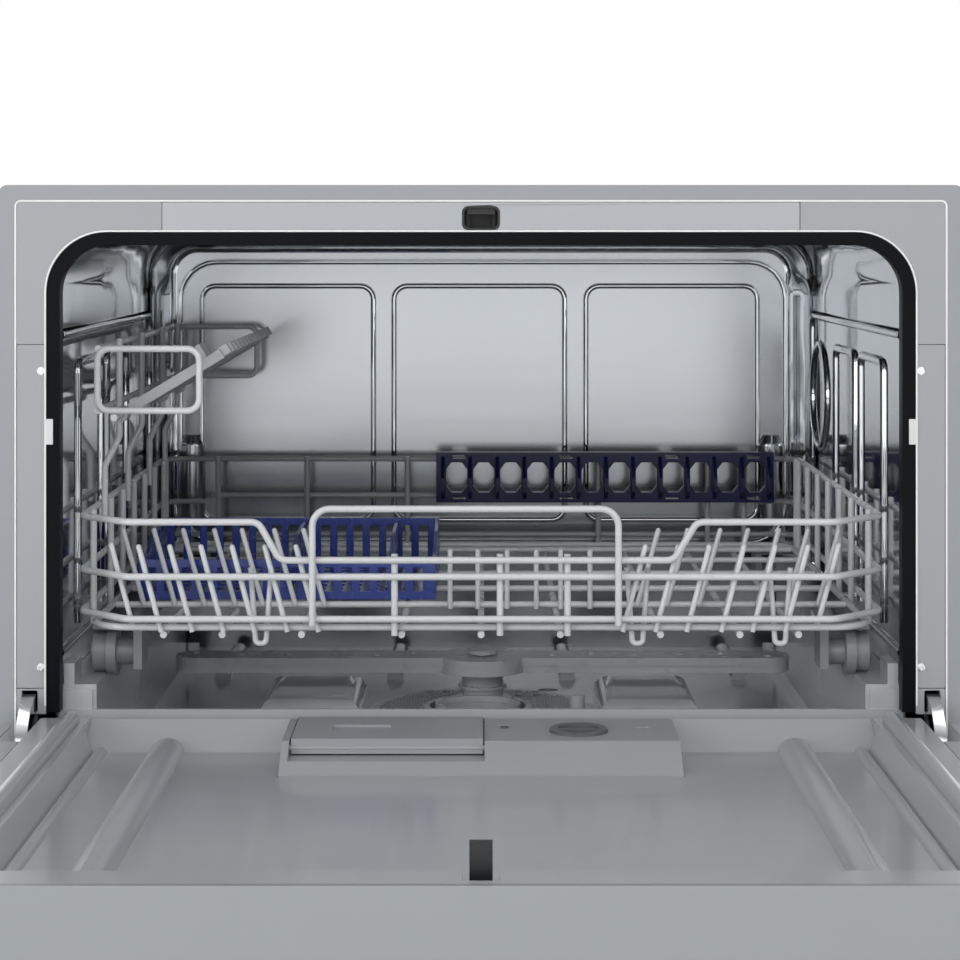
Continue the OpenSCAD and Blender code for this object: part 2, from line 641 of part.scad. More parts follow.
module basket_rear_fence() color("#8F9294") {
  for (z = [rails[0], rail_top])
    wire([[basket_x, rear_start_y, z], [basket_x, rear_y, z], [-basket_x, rear_y, z],
          [-basket_x, rear_start_y, z]], rail_d, 16);
  both() wire([[basket_x, rear_start_y, rails[1]], [basket_x, rear_y, rails[1]],
               [basket_x - 30, rear_y, rails[1]]], rail_d, 16);
  rod([-200 * across, rear_y, 217], [200 * across, rear_y, 217], rail_d);
  for (x = [-195, -129, -54.5, 87, 168, 195] * across)
    rod([x, rear_y - wire_step, 178], [x, rear_y - wire_step, rail_top + 2], rail_d);
}

frame_wire_x = upright_x - wire_step;
floor_front_y = rail_y + 2 * wire_step + 0.6;
cross_y = [row_y + 3.65, 177, 245, tub_back - 122, tub_back - 66];
module basket_floor() color("#B9BAB9") {
  wire([[0, floor_front_y, floor_wire_z], [frame_wire_x, floor_front_y, floor_wire_z],
        [frame_wire_x, rear_y - 14, floor_wire_z], [-frame_wire_x, rear_y - 14, floor_wire_z],
        [-frame_wire_x, floor_front_y, floor_wire_z], [0, floor_front_y, floor_wire_z]], rail_d, 24);
  for (y = cross_y)
    rod([2.05 - frame_wire_x, y, floor_wire_z], [frame_wire_x - 2.05, y, floor_wire_z], rail_d);
  for (x = [-184, -150, -104, -46, 0, 46, 104, 150, 184] * across)
    rod([x, floor_front_y - 2, floor_wire_z - wire_step], [x, rear_y - 12, floor_wire_z - wire_step], rail_d);
}

// Each tine leans outwards, away from the middle of the basket.
front_tines = [-185, -167, -149, -131, -112, -94, 82, 101, 119, 139, 157, 176] * across;
corner_tines = [-202, 195] * across;    // these stand behind the front floor wire, clear of the corners
second_tines = [-207, -188, -170, -151, -134, -114, -96, 96, 114, 134, 151, 170, 188, 207] * across;
upright_tines = [-19, -2, 16, 34, 49, 67] * across;
lean = 13;
module plate_tines() color("#C4C4C2") {
  beside = rail_d / 2 + tine_d / 2 + gap;
  for (x = front_tines)
    rod([x, floor_front_y - beside, 180], [x + sign(x) * lean, floor_front_y - beside, 229], tine_d);
  for (x = corner_tines)
    rod([x, floor_front_y + beside, 180], [x + sign(x) * lean, floor_front_y + beside, 229], tine_d);
  for (x = second_tines) rod([x, row_y, 182], [x + sign(x) * lean, row_y, 228], tine_d);
  for (x = upright_tines) rod([x, row_y, 180], [x, row_y, 215], tine_d);
}

// The cup rack's wires stand on the left side fence.
loop_y = [45, tub_back - 29];
rack_x = 9 - basket_x;
loop_x = 69 - basket_x;
rack_z = [306, 342.5];
module cup_rack_wires() color("#C4C4C2") {
  for (y = loop_y)
    wire([[loop_x - 24, y, rack_z[0]], [loop_x, y, rack_z[0]], [loop_x, y, rack_z[1]], [rack_x, y, rack_z[1]],
          [rack_x, y, rack_z[0]], [loop_x - 24, y, rack_z[0]]], rail_d, 7);
  for (z = rack_z) rod([rack_x, loop_y[0] + 2.05, z], [rack_x, loop_y[1] - 2.05, z], rail_d);
  rod([shelf_axis[0], loop_y[0] - 2, shelf_axis[1]], [shelf_axis[0], loop_y[1] + 2, shelf_axis[1]], rail_d);
  for (y = [104, 200, tub_back - 134, tub_back - 54])
    wire([[-upright_x, y, rail_top - 8], [-upright_x, y, 268], [rack_x + wire_step, y, 286],
          [rack_x + wire_step, y, 346]], rail_d, 8);
}

module roller_brackets() color("#9A9C9E") both() for (y = axle_y) {
  x = basket_x - 35.5;
  block([x, y - 12, 154], [x + 5, y + 12, 179.7]);
  block([x, y - 12, axle_z + roller_r + 0.6], [x + 29.1, y + 12, 179.7]);
  rod_x(x + 4.5, x + 30.5, y, axle_z, axle_r);
  rod_x(x + 29.9, x + 31.5, y, axle_z, 5);
}
module roller(side, y) scale([side, 1, 1]) difference() {
  union() {
    rod_x(basket_x - 30, basket_x - 19, y, axle_z, 8);
    rod_x(basket_x - 20, basket_x - 14, y, axle_z, roller_r);
    rod_x(basket_x - 15, basket_x - 6, y, axle_z, roller_r - 2.2);
  }
  rod_x(basket_x - 35, basket_x - 3, y, axle_z, axle_r + 0.06);
}
module roller_front_left() color("#7E8184") roller(-1, axle_y[0]);
module roller_front_right() color("#7E8184") roller(1, axle_y[0]);
module roller_rear_left() color("#7E8184") roller(-1, axle_y[1]);
module roller_rear_right() color("#7E8184") roller(1, axle_y[1]);

// The navy comb clipped on the rear fence: a bar with chamfered windows and a fin at each pillar.
comb_x = [-33, 216] * across;
comb_z = [213, 250];
comb_y = rear_y - wire_step - rail_d / 2 - 0.2;
pitch = 20 * across;
module comb_window(x) translate([x, 231.5]) scale([across, 1])
  polygon([[-7.8, -6], [-3.8, -11.1], [3.8, -11.1], [7.8, -6], [7.8, 6], [3.8, 11.1], [-3.8, 11.1], [-7.8, 6]]);
module plate_comb() color("#0A1A50") {
  y_slab(comb_y - 8, comb_y) difference() {
    translate([comb_x[0], comb_z[0]]) square([comb_x[1] - comb_x[0], comb_z[1] - comb_z[0]]);
    for (i = [0 : 11]) comb_window(comb_x[0] + pitch * (i + 0.75));
    for (x = [-16, 63, 141, 201] * across, z = [214.8, 245.4]) translate([x - 5, z]) square([10, 2.6]);
  }
  for (i = [0 : 12]) x_slab(comb_x[0] + 3.8 + pitch * i, comb_x[0] + 6.2 + pitch * i)
    polygon([[comb_y - 8, 216], [comb_y - 20, 222], [comb_y - 20, 232], [comb_y - 8, 247]]);
}

// The cup shelf turns on its own wire and rests rising to the right.
shelf_rise = 31;
shelf_w = 72;
module cup_shelf() color("#A4A6A7") translate([shelf_axis[0], 0, shelf_axis[1]]) rotate([0, -shelf_rise, 0]) {
  length = loop_y[1] - loop_y[0] - 60;
  slots = 14;
  step = (length - 6) / slots;
  for (y = [68, 150, 240, length + 30]) difference() {
    union() {
      rod_y(0, y, y + 14, 0, 4.6);
      block([2, y, -2], [12, y + 14, 2]);
    }
    rod_y(0, y - 1, y + 15, 0, rail_d / 2 + 0.08);
  }
  difference() {
    block([8, 60, -2], [shelf_w, 60 + length, 2]);
    for (i = [0 : slots - 1], x = [14, 42]) block([x, 68 + step * i, -3], [x + 22, 79 + step * i, 3]);
  }
  for (y = [60, 55 + length]) block([8, y, -3], [shelf_w, y + 5, 3.2]);
  for (i = [0 : slots - 1]) block([shelf_w - 1, 63 + step * i, -2], [shelf_w + 5, 69 + step * i, 4]);
  block([shelf_w - 12, 62, 2], [shelf_w - 9, 86, 12]);
}

// The blue cutlery basket: stepped, slatted walls, two dividers and a slatted floor.
cut_x = [23 - basket_x, -28];
cut_y = [114, 252];
cut_z = [184.3, 219];
cut_t = 2.4;
module slats(x0, x1, z0, z1) for (x = [x0 + 5 : 11 : x1 - 9]) translate([x, z0]) square([6, z1 - z0]);
module cutlery_wall(y, top) y_slab(y, y + cut_t) difference() {
  translate([cut_x[0], cut_z[0]]) square([cut_x[1] - cut_x[0], top - cut_z[0]]);
  slats(cut_x[0], cut_x[1], cut_z[0] + 5, top - 5);
}
module cutlery_end(x, top) x_slab(x, x + cut_t) difference() {
  polygon([[cut_y[0] + cut_t, cut_z[0]], [cut_y[1] - cut_t, cut_z[0]], [cut_y[1] - cut_t, top],
           [cut_y[0] + 60, top], [cut_y[0] + 34, top - 10], [cut_y[0] + cut_t, top - 10]]);
  slats(cut_y[0] + cut_t, cut_y[1] - cut_t, cut_z[0] + 5, top - 14);
}
module cutlery_basket() color("#2B3F92") {
  cutlery_wall(cut_y[0], cut_z[1] - 10);
  cutlery_wall(cut_y[1] - cut_t, cut_z[1]);
  cutlery_end(cut_x[0], cut_z[1]);
  cutlery_end(-120, cut_z[1] - 2);
  cutlery_end(-58, cut_z[1] - 2);
  cutlery_end(cut_x[1] - cut_t, cut_z[1]);
  z_slab(cut_z[0], cut_z[0] + cut_t) difference() {
    translate([cut_x[0], cut_y[0]]) square([cut_x[1] - cut_x[0], cut_y[1] - cut_y[0]]);
    for (y = [0 : 7]) slats(cut_x[0] + 4, cut_x[1] - 4, cut_y[0] + 8 + 16 * y, cut_y[0] + 18 + 16 * y);
  }
}

placed() outer_casing();
placed() back_panel();
placed() base_tray();
placed() plinth_panel();
placed() levelling_feet();
placed() frame_corner_left();
placed() frame_corner_right();
placed() frame_top_strip();
placed() frame_side_strips();
placed() frame_trim();
placed() hinge_covers();
placed() frame_screws();
placed() buffer_clips();
placed() latch_strike();
placed() tub_gasket();
placed() tub_wrap();
placed() tub_back_wall();
placed() tub_floor();
placed() sump_housing();
placed() filter_plate();
placed() spray_hub();
placed() wash_pump();
placed() flow_heater();
placed() drain_pump();
placed() inlet_valve();
placed() drain_spigot();
placed() cord_gland();
placed() hinge_brackets();
placed() spray_arm_lower();
placed() spray_arm_upper();
placed() filter_cylinder();
placed() door_outer_panel();
placed() door_liner();
placed() door_fascia();
placed() dispenser_housing();
placed() door_hinge_arms();
placed() door_hinge_pins();
placed() door_bottom_seal();
placed() display_window();
placed() control_board();
placed() detergent_lid();
placed() rinse_aid_cap();
placed() latch_hook();
placed() power_button();
placed() program_button();
placed() start_button();
placed() basket_front_fence();
placed() basket_side_fences();
placed() basket_rear_fence();
placed() basket_floor();
placed() plate_tines();
placed() cup_rack_wires();
placed() roller_brackets();
placed() plate_comb();
placed() roller_front_left();
placed() roller_front_right();
placed() roller_rear_left();
placed() roller_rear_right();
placed() cup_shelf();
placed() cutlery_basket();
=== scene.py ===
"""Countertop dishwasher with its door open: the finish of every piece, the small details that
the solids leave out, and the stage with its lights and camera."""

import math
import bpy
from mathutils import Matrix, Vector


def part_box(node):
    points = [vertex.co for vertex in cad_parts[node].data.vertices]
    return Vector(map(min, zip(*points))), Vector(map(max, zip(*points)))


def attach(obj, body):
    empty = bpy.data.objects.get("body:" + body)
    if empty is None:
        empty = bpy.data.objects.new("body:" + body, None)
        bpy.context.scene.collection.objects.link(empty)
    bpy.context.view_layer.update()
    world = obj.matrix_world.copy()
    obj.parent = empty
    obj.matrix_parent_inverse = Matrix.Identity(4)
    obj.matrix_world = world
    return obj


bl_info = {
    "name": "Countertop dishwasher",
    "version": (1, 0, 0),
    "blender": (4, 5, 0),
    "location": "3D View > Sidebar > Dishwasher",
    "description": "Dresses the packed dishwasher with its finishes, details, lights and camera",
    "category": "Object",
}

import bmesh
import bpy
from mathutils import Vector

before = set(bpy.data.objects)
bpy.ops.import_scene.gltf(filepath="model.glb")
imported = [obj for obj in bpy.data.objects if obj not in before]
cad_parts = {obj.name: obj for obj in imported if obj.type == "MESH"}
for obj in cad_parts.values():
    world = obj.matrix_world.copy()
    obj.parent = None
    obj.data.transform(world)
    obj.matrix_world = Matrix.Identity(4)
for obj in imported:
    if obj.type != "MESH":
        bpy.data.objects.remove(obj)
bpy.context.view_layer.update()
MM = 0.001
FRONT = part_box("outer_casing")[0].y  # the front frame's face, from which depths are counted
PAN_DEPTH = 14  # mm from the rim of the door's liner down to its pan
PHOTO_SIDE = 960  # pixels


def linear(code):
    """A colour written as an sRGB hex value, turned to linear with full opacity."""
    parts = [int(code[i : i + 2], 16) / 255 for i in (1, 3, 5)]
    return (*(p / 12.92 if p <= 0.04045 else ((p + 0.055) / 1.055) ** 2.4 for p in parts), 1.0)


# ---- Properties ----


def colour_prop(name, description, code):
    return bpy.props.FloatVectorProperty(
        name=name, description=description, subtype="COLOR", size=4, min=0, max=1,
        default=linear(code),
    )


def length_prop(name, description, millimetres, most=2000.0):
    return bpy.props.FloatProperty(
        name=name, description=description, subtype="DISTANCE", unit="LENGTH", min=0.0,
        max=most * MM, default=millimetres * MM, precision=4,
    )


class DishwasherColours(bpy.types.PropertyGroup):
    """Base colours of the finishes."""

    paint: colour_prop("Casing paint", "Satin silver paint of the casing and door", "#989B9F")
    cover: colour_prop("Frame covers", "Moulded grey covers round the opening", "#A1A3A7")
    top_strip: colour_prop("Top strip", "Lighter cover above the opening", "#ADB0B4")
    stainless: colour_prop("Tub steel", "Bright rolled steel of the tub's sides", "#C9CCCE")
    back_steel: colour_prop("Back steel", "Paler pressed steel of the tub's back", "#AFB2B5")
    wire: colour_prop("Basket wire", "Vinyl coating of the basket's wires", "#D3D5D7")
    tub_floor: colour_prop("Tub floor", "Moulded floor of the tub", "#B0B3B6")
    liner: colour_prop("Door liner", "Moulded inside of the door", "#AEB1B4")
    dispenser: colour_prop("Dispenser", "Detergent dispenser and its lid", "#9B9DA1")
    comb: colour_prop("Plate comb", "Navy comb on the rear fence", "#0A1546")
    cutlery: colour_prop("Cutlery basket", "Royal blue cutlery basket", "#283E92")
    shelf: colour_prop("Cup shelf", "Fold-down cup shelf", "#A9ABAC")
    floor: colour_prop("Stage floor", "Pale floor under the machine", "#F4F4F4")


class DishwasherSizes(bpy.types.PropertyGroup):
    """Sizes of the small details and of the stage."""

    plate_edge: length_prop("Sheet edge", "Rounding of the steel sheets' edges", 0.25, 2.0)
    moulded_edge: length_prop("Moulded edge", "Rounding of the moulded pieces' edges", 0.7, 3.0)
    soft_edge: length_prop("Soft edge", "Rounding of the dispenser and the tub floor", 1.5, 4.0)
    small_edge: length_prop("Small edge", "Rounding on thin mouldings", 0.3, 2.0)
    tip_radius: length_prop("Tine tip", "Radius of the rounded ends of the tines", 1.62, 3.0)
    # The bar round the opening is near-white: a painted highlight on the covers' inner edge.
    edge_highlight_radius: length_prop("Opening lip", "Radius of the bright lip round the opening", 0.55, 2.0)
    screw_radius: length_prop("Screw head", "Radius of the back panel's screw heads", 4.0, 8.0)
    hole_radius: length_prop("Filter hole", "Radius of the filter plate's holes", 1.0, 3.0)
    hole_pitch: length_prop("Filter pitch", "Distance between the filter's holes", 4.0, 20.0)
    eye_distance: length_prop("Camera distance", "From the camera to the front frame", 1350.0)
    eye_height: length_prop("Camera height", "Height of the camera above the worktop", 406.6)
    lens: bpy.props.FloatProperty(
        name="Lens", description="Focal length in millimetres", default=88.8, min=20
    )
    stage_size: length_prop("Stage size", "Width of the floor", 12000.0, 20000.0)


# ---- Materials ----


def add(tree, kind, settings=None, inputs=None):
    """Adds a node with its settings, and sets or links its inputs."""
    node = tree.nodes.new(kind)
    for key, value in (settings or {}).items():
        setattr(node, key, value)
    for key, value in (inputs or {}).items():
        if isinstance(value, bpy.types.NodeSocket):
            tree.links.new(value, node.inputs[key])
        else:
            node.inputs[key].default_value = value
    return node


def shade(colour, factor):
    return tuple(min(1.0, c * factor) for c in colour[:3]) + (1.0,)


# Paint, ABS, polypropylene and vinyl all lie near this, and so does the shader's default, which
# the metals keep.
IOR = 1.5
LEAST_ROUGHNESS = 0.02


def surface(name, colour, roughness, metallic=0.0, coat=0.0, grain=(0.8, 0.05), mottle=(40, 0.05),
            wave=None, stretch=(1, 1, 1), drift=0.03, specular=0.5, through=0.0):
    """A finish whose shade and gloss drift slowly, with a fine relief and, if asked, a wave.

    grain and wave are (size in mm, depth in mm), and stretch scales the grain along each axis.
    mottle is (size in mm, share of the shade). drift is how far the roughness wanders, and
    through is the share of light that passes."""
    material = bpy.data.materials.new(name)
    material.use_nodes = True
    tree = material.node_tree
    tree.nodes.clear()
    where = add(tree, "ShaderNodeTexCoord").outputs["Object"]
    stretched = add(tree, "ShaderNodeMapping", {"vector_type": "POINT"},
                    {"Vector": where, "Scale": stretch})
    slow = add(tree, "ShaderNodeTexNoise", None, {
        "Vector": where, "Scale": 1 / (mottle[0] * MM), "Detail": 3.0, "Roughness": 0.55})
    fine = add(tree, "ShaderNodeTexNoise", None, {
        "Vector": stretched.outputs["Vector"], "Scale": 1 / (grain[0] * MM), "Detail": 2.0})
    tone = add(tree, "ShaderNodeMix", {"data_type": "RGBA"}, {"Factor": slow.outputs["Fac"]})
    tone.inputs["A"].default_value = shade(colour, 1 - mottle[1])
    tone.inputs["B"].default_value = shade(colour, 1 + mottle[1])
    # Most of a noise lies between these two values.
    gloss = add(tree, "ShaderNodeMapRange", None, {
        "Value": slow.outputs["Fac"], "From Min": 0.3, "From Max": 0.7,
        "To Min": max(LEAST_ROUGHNESS, roughness - drift / 2), "To Max": roughness + drift / 2})
    bump = add(tree, "ShaderNodeBump", None, {
        "Height": fine.outputs["Fac"], "Distance": grain[1] * MM, "Strength": 1.0})
    if wave:
        broad = add(tree, "ShaderNodeTexNoise", None, {
            "Vector": where, "Scale": 1 / (wave[0] * MM), "Detail": 1.5, "Roughness": 0.4})
        bump = add(tree, "ShaderNodeBump", None, {
            "Height": broad.outputs["Fac"], "Distance": wave[1] * MM, "Strength": 1.0,
            "Normal": bump.outputs["Normal"]})
    shader = add(tree, "ShaderNodeBsdfPrincipled", None, {
        "Base Color": tone.outputs["Result"], "Roughness": gloss.outputs["Result"],
        "Metallic": metallic, "Coat Weight": coat, "Coat Roughness": 0.12,
        "Specular IOR Level": specular, "IOR": IOR, "Transmission Weight": through,
        "Normal": bump.outputs["Normal"]})
    add(tree, "ShaderNodeOutputMaterial", None, {"Surface": shader.outputs["BSDF"]})
    return material


def finishes(colours):
    """Every finish on the machine, by name.

    The relief of paint and moulded plastic is really a tenth of a millimetre wide or less. It is
    drawn at 0.6 mm and more, so that it shows."""
    recipes = {
        # Powder coat with metal flake: satin, with a soft orange-peel drift.
        "silver_paint": dict(
            colour=colours.paint, roughness=0.44, metallic=0.12, coat=0.08,
            grain=(0.7, 0.012), mottle=(60, 0.03)),
        # Zinc-plated sheet: dull and patchy.
        "zinc_sheet": dict(
            colour=linear("#9A9DA0"), roughness=0.42, metallic=0.9,
            grain=(2.0, 0.02), mottle=(14, 0.12)),
        # Bright annealed stainless, deep drawn: near-mirror, with slow waves that bend what it
        # reflects. Its rolled grain is too fine to show, so the relief is one more soft swell.
        "drawn_stainless": dict(
            colour=colours.stainless, roughness=0.055, metallic=1.0,
            grain=(60, 0.01), mottle=(90, 0.02), wave=(95, 0.9), stretch=(1, 1, 0.3), drift=0.02),
        # The flatter back sheet scatters more, stays paler and waves less.
        "pressed_stainless": dict(
            colour=colours.back_steel, roughness=0.19, metallic=1.0,
            grain=(80, 0.01), mottle=(160, 0.015), wave=(230, 0.8), stretch=(0.3, 1, 1),
            drift=0.02),
        # Nickel-bright hinge steel: a clean hard shine.
        "bright_steel": dict(
            colour=linear("#D6D7D8"), roughness=0.16, metallic=1.0,
            grain=(1.5, 0.01), mottle=(9, 0.06)),
        # Textured ABS of the covers: an even satin with a fine spark-eroded grain.
        "cover_abs": dict(
            colour=colours.cover, roughness=0.4, metallic=0.1,
            grain=(0.6, 0.02), mottle=(90, 0.02)),
        "top_strip_abs": dict(
            colour=colours.top_strip, roughness=0.38, metallic=0.1,
            grain=(0.6, 0.02), mottle=(90, 0.02)),
        # Near-white and glossy: a painted highlight, laid on the covers' trim and round the
        # opening.
        "edge_line": dict(
            colour=linear("#F4F5F5"), roughness=0.2, coat=0.4,
            grain=(3.0, 0.004), mottle=(30, 0.01)),
        # Painted ABS fascia: the door's silver, a little darker than the covers.
        "fascia_abs": dict(
            colour=linear("#94989B"), roughness=0.36, metallic=0.2, coat=0.15,
            grain=(0.6, 0.015), mottle=(70, 0.03)),
        # Talc-filled polypropylene: a smooth, slightly greasy sheen with faint flow marks.
        "floor_pp": dict(
            colour=colours.tub_floor, roughness=0.12, coat=0.5,
            grain=(9.0, 0.02), mottle=(40, 0.05)),
        "liner_pp": dict(
            colour=colours.liner, roughness=0.2, coat=0.2,
            grain=(10.0, 0.01), mottle=(60, 0.02)),
        "dispenser_pp": dict(
            colour=colours.dispenser, roughness=0.36,
            grain=(0.8, 0.03), mottle=(20, 0.03)),
        "arm_pp": dict(
            colour=linear("#B2B5B8"), roughness=0.28, coat=0.1,
            grain=(1.2, 0.02), mottle=(18, 0.06)),
        # Dyed polypropylene: dark and dull, so that it reads as a cap, a tray or a pump.
        "dial_pp": dict(
            colour=linear("#5F6266"), roughness=0.34, grain=(1.0, 0.02), mottle=(20, 0.03)),
        "dark_pp": dict(
            colour=linear("#3A3C3F"), roughness=0.45, grain=(1.0, 0.03), mottle=(30, 0.08)),
        # This black also covers the filter's hole discs, where it is painted shade.
        "black_pp": dict(
            colour=linear("#17181A"), roughness=0.4, grain=(1.0, 0.02), mottle=(30, 0.08)),
        # Extruded EPDM: soft black with a low sheen.
        "gasket_epdm": dict(
            colour=linear("#04060B"), roughness=0.4, specular=0.1,
            grain=(0.9, 0.01), mottle=(22, 0.12)),
        # Moulded rubber of the feet: chalky and dusty.
        "foot_rubber": dict(
            colour=linear("#1D1E20"), roughness=0.62, grain=(0.9, 0.04), mottle=(12, 0.15)),
        # Fluid-bed vinyl on wire: rounded, glossy and a touch uneven.
        "wire_vinyl": dict(
            colour=colours.wire, roughness=0.28, coat=0.3, grain=(2.2, 0.03), mottle=(16, 0.03)),
        # The rear fence's wires are the same vinyl at 0.55 of its shade: painted shade, where the
        # basket's rear lies in shadow.
        "rear_wire_vinyl": dict(
            colour=shade(colours.wire, 0.55), roughness=0.3, coat=0.3,
            grain=(2.2, 0.03), mottle=(16, 0.03)),
        # Acetal of the rollers and polypropylene of the cup shelf: hard, smooth and grey.
        "roller_pom": dict(
            colour=linear("#85888B"), roughness=0.33, grain=(1.0, 0.02), mottle=(10, 0.05)),
        "shelf_pp": dict(
            colour=colours.shelf, roughness=0.34, grain=(1.0, 0.02), mottle=(24, 0.04)),
        # Glossy navy and slightly see-through royal blue polypropylene.
        "comb_pp": dict(
            colour=colours.comb, roughness=0.3, specular=0.35,
            grain=(1.4, 0.02), mottle=(18, 0.1)),
        "cutlery_pp": dict(
            colour=colours.cutlery, roughness=0.27, coat=0.25, drift=0.08, through=0.12,
            grain=(1.4, 0.02), mottle=(18, 0.08)),
        # Smoked acrylic: deep, dark and clear-coated.
        "smoked_window": dict(
            colour=linear("#101215"), roughness=0.12, coat=0.5,
            grain=(6.0, 0.002), mottle=(30, 0.05)),
        # Painted ABS of the buttons: smoother than the covers.
        "button_abs": dict(
            colour=linear("#BEC0C2"), roughness=0.3, metallic=0.1, coat=0.1,
            grain=(0.8, 0.005), mottle=(8, 0.02)),
        # Natural nylon: off-white and dull.
        "valve_pa": dict(
            colour=linear("#DADBDC"), roughness=0.42, grain=(1.0, 0.02), mottle=(12, 0.04)),
        # Glass-epoxy laminate under green lacquer: glossy over a faint weave.
        "board_laminate": dict(
            colour=linear("#2F5A3C"), roughness=0.35, coat=0.2,
            grain=(3.0, 0.05), mottle=(5, 0.2)),
    }
    return {name: surface(name, **recipe) for name, recipe in recipes.items()}


# For each finish: the CAD nodes that have it, and the rounding their edges get.
DRESS = {
    "silver_paint": (["outer_casing", "door_outer_panel"], "plate_edge"),
    "zinc_sheet": (["back_panel", "flow_heater"], "plate_edge"),
    "drawn_stainless": (["tub_wrap"], None),
    "pressed_stainless": (["tub_back_wall"], "small_edge"),
    "bright_steel": (["hinge_brackets", "door_hinge_arms", "door_hinge_pins", "frame_screws"],
                     "small_edge"),
    "cover_abs": (["frame_corner_left", "frame_corner_right", "frame_side_strips",
                   "hinge_covers"], "moulded_edge"),
    "top_strip_abs": (["frame_top_strip"], "moulded_edge"),
    # The trim's near-white finish is a painted highlight along the covers' edge.
    "edge_line": (["frame_trim"], "plate_edge"),
    "fascia_abs": (["door_fascia", "plinth_panel"], "moulded_edge"),
    "floor_pp": (["tub_floor"], "soft_edge"),
    "liner_pp": (["door_liner"], "moulded_edge"),
    "dispenser_pp": (["dispenser_housing", "detergent_lid"], "soft_edge"),
    "arm_pp": (["spray_arm_lower", "spray_arm_upper", "filter_plate", "spray_hub",
                "filter_cylinder"], "small_edge"),
    "dial_pp": (["rinse_aid_cap"], "small_edge"),
    "dark_pp": (["base_tray", "sump_housing", "wash_pump", "drain_pump", "drain_spigot"],
                "moulded_edge"),
    "black_pp": (["cord_gland", "latch_hook", "latch_strike"], "small_edge"),
    "gasket_epdm": (["tub_gasket", "door_bottom_seal"], "small_edge"),
    "foot_rubber": (["levelling_feet"], "moulded_edge"),
    "wire_vinyl": (["basket_front_fence", "basket_side_fences", "basket_floor", "plate_tines",
                    "cup_rack_wires"], None),
    "rear_wire_vinyl": (["basket_rear_fence"], None),
    "roller_pom": (["roller_front_left", "roller_front_right", "roller_rear_left",
                    "roller_rear_right", "roller_brackets"], "small_edge"),
    "shelf_pp": (["cup_shelf"], "small_edge"),
    "comb_pp": (["plate_comb"], "small_edge"),
    "cutlery_pp": (["cutlery_basket"], "small_edge"),
    "smoked_window": (["display_window"], "small_edge"),
    "button_abs": (["power_button", "program_button", "start_button"], "small_edge"),
    "valve_pa": (["inlet_valve", "buffer_clips"], "small_edge"),
    "board_laminate": (["control_board"], "small_edge"),
}
SMOOTH_ANGLE = math.radians(38)  # faces that meet at less than this run smoothly into each other
# These mouldings also have soft edges where two faces meet at a slight angle.
SHALLOW_EDGES = ("door_liner", "dispenser_housing")
SHALLOW_ANGLE = math.radians(20)
MERGE = 1e-5  # metres: points nearer than this are one


def dress(node, material, edge):
    """Gives a CAD node its finish, joins its loose triangles, and rounds its edges."""
    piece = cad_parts[node]
    piece.data.materials.clear()
    piece.data.materials.append(material)
    for polygon in piece.data.polygons:
        polygon.use_smooth = True
        polygon.material_index = 0
    # The flat normals that come with the triangles would hide the smooth shading.
    if "custom_normal" in piece.data.attributes:
        piece.data.attributes.remove(piece.data.attributes["custom_normal"])
    weld = piece.modifiers.new("Join", "WELD")
    weld.merge_threshold = MERGE
    if edge:
        bevel = piece.modifiers.new("Edge", "BEVEL")
        bevel.width = edge
        bevel.segments = 2
        bevel.limit_method = "ANGLE"
        bevel.angle_limit = SHALLOW_ANGLE if node in SHALLOW_EDGES else SMOOTH_ANGLE
        bevel.use_clamp_overlap = True
        bevel.miter_outer = "MITER_ARC"
        even = piece.modifiers.new("Even", "WEIGHTED_NORMAL")
        even.mode = "FACE_AREA"
        even.weight = 80
    else:
        piece.modifiers.new("Crease", "EDGE_SPLIT").split_angle = SMOOTH_ANGLE


# ---- Meshes of new pieces ----


def carried(name, mesh, body):
    """An object for a finished mesh, which rides on a body."""
    piece = bpy.data.objects.new(name, mesh)
    bpy.context.scene.collection.objects.link(piece)
    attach(piece, body)
    return piece


def built(name, mesh, finish, body, smooth=False):
    """Closes work on a bmesh: faces point outwards, the finish goes on, and a body carries it."""
    bmesh.ops.recalc_face_normals(mesh, faces=mesh.faces)
    for face in mesh.faces:
        face.smooth = smooth
    made = bpy.data.meshes.new(name)
    mesh.to_mesh(made)
    mesh.free()
    made.materials.append(bpy.data.materials[finish])
    return carried(name, made, body)


def add_block(mesh, low, high):
    """Adds a block between two opposite corners to a bmesh."""
    for corner in bmesh.ops.create_cube(mesh, size=1)["verts"]:
        corner.co = Vector([high[i] if corner.co[i] > 0 else low[i] for i in range(3)])


def place(x, depth, z):
    """A point in mm, with its depth behind the front frame's face, in the frame's metres."""
    return Vector((x * MM, FRONT + depth * MM, z * MM))


def rounded_path(corners, radius, closed=True, steps=6):
    """Right-angled corners in a plane, in mm, turned into a path with round corners."""
    count, path = len(corners), []
    for i, corner in enumerate(corners):
        here = Vector(corner)
        if not closed and i in (0, count - 1):
            path.append(here)
            continue
        before = (Vector(corners[i - 1]) - here).normalized()
        after = (Vector(corners[(i + 1) % count]) - here).normalized()
        middle = here + (before + after) * radius
        for k in range(steps + 1):
            angle = math.pi / 2 * k / steps
            path.append(middle - after * radius * math.cos(angle)
                        - before * radius * math.sin(angle))
    return path


def joined(paths):
    """Points and edges of several paths, each given as (points, closed)."""
    points, edges = [], []
    for path, closed in paths:
        first = len(points)
        points += path
        edges += [(first + i, first + i + 1) for i in range(len(path) - 1)]
        if closed:
            edges.append((len(points) - 1, first))
    return points, edges


def loose_parts(node):
    """The corner points of each separate solid of a CAD node."""
    mesh = bmesh.new()
    mesh.from_mesh(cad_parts[node].data)
    bmesh.ops.remove_doubles(mesh, verts=mesh.verts, dist=MERGE)
    seen, parts = set(), []
    for first in mesh.verts:
        if first in seen:
            continue
        seen.add(first)
        stack, part = [first], []
        while stack:
            vertex = stack.pop()
            part.append(vertex.co.copy())
            for edge in vertex.link_edges:
                other = edge.other_vert(vertex)
                if other not in seen:
                    seen.add(other)
                    stack.append(other)
        parts.append(part)
    mesh.free()
    return parts


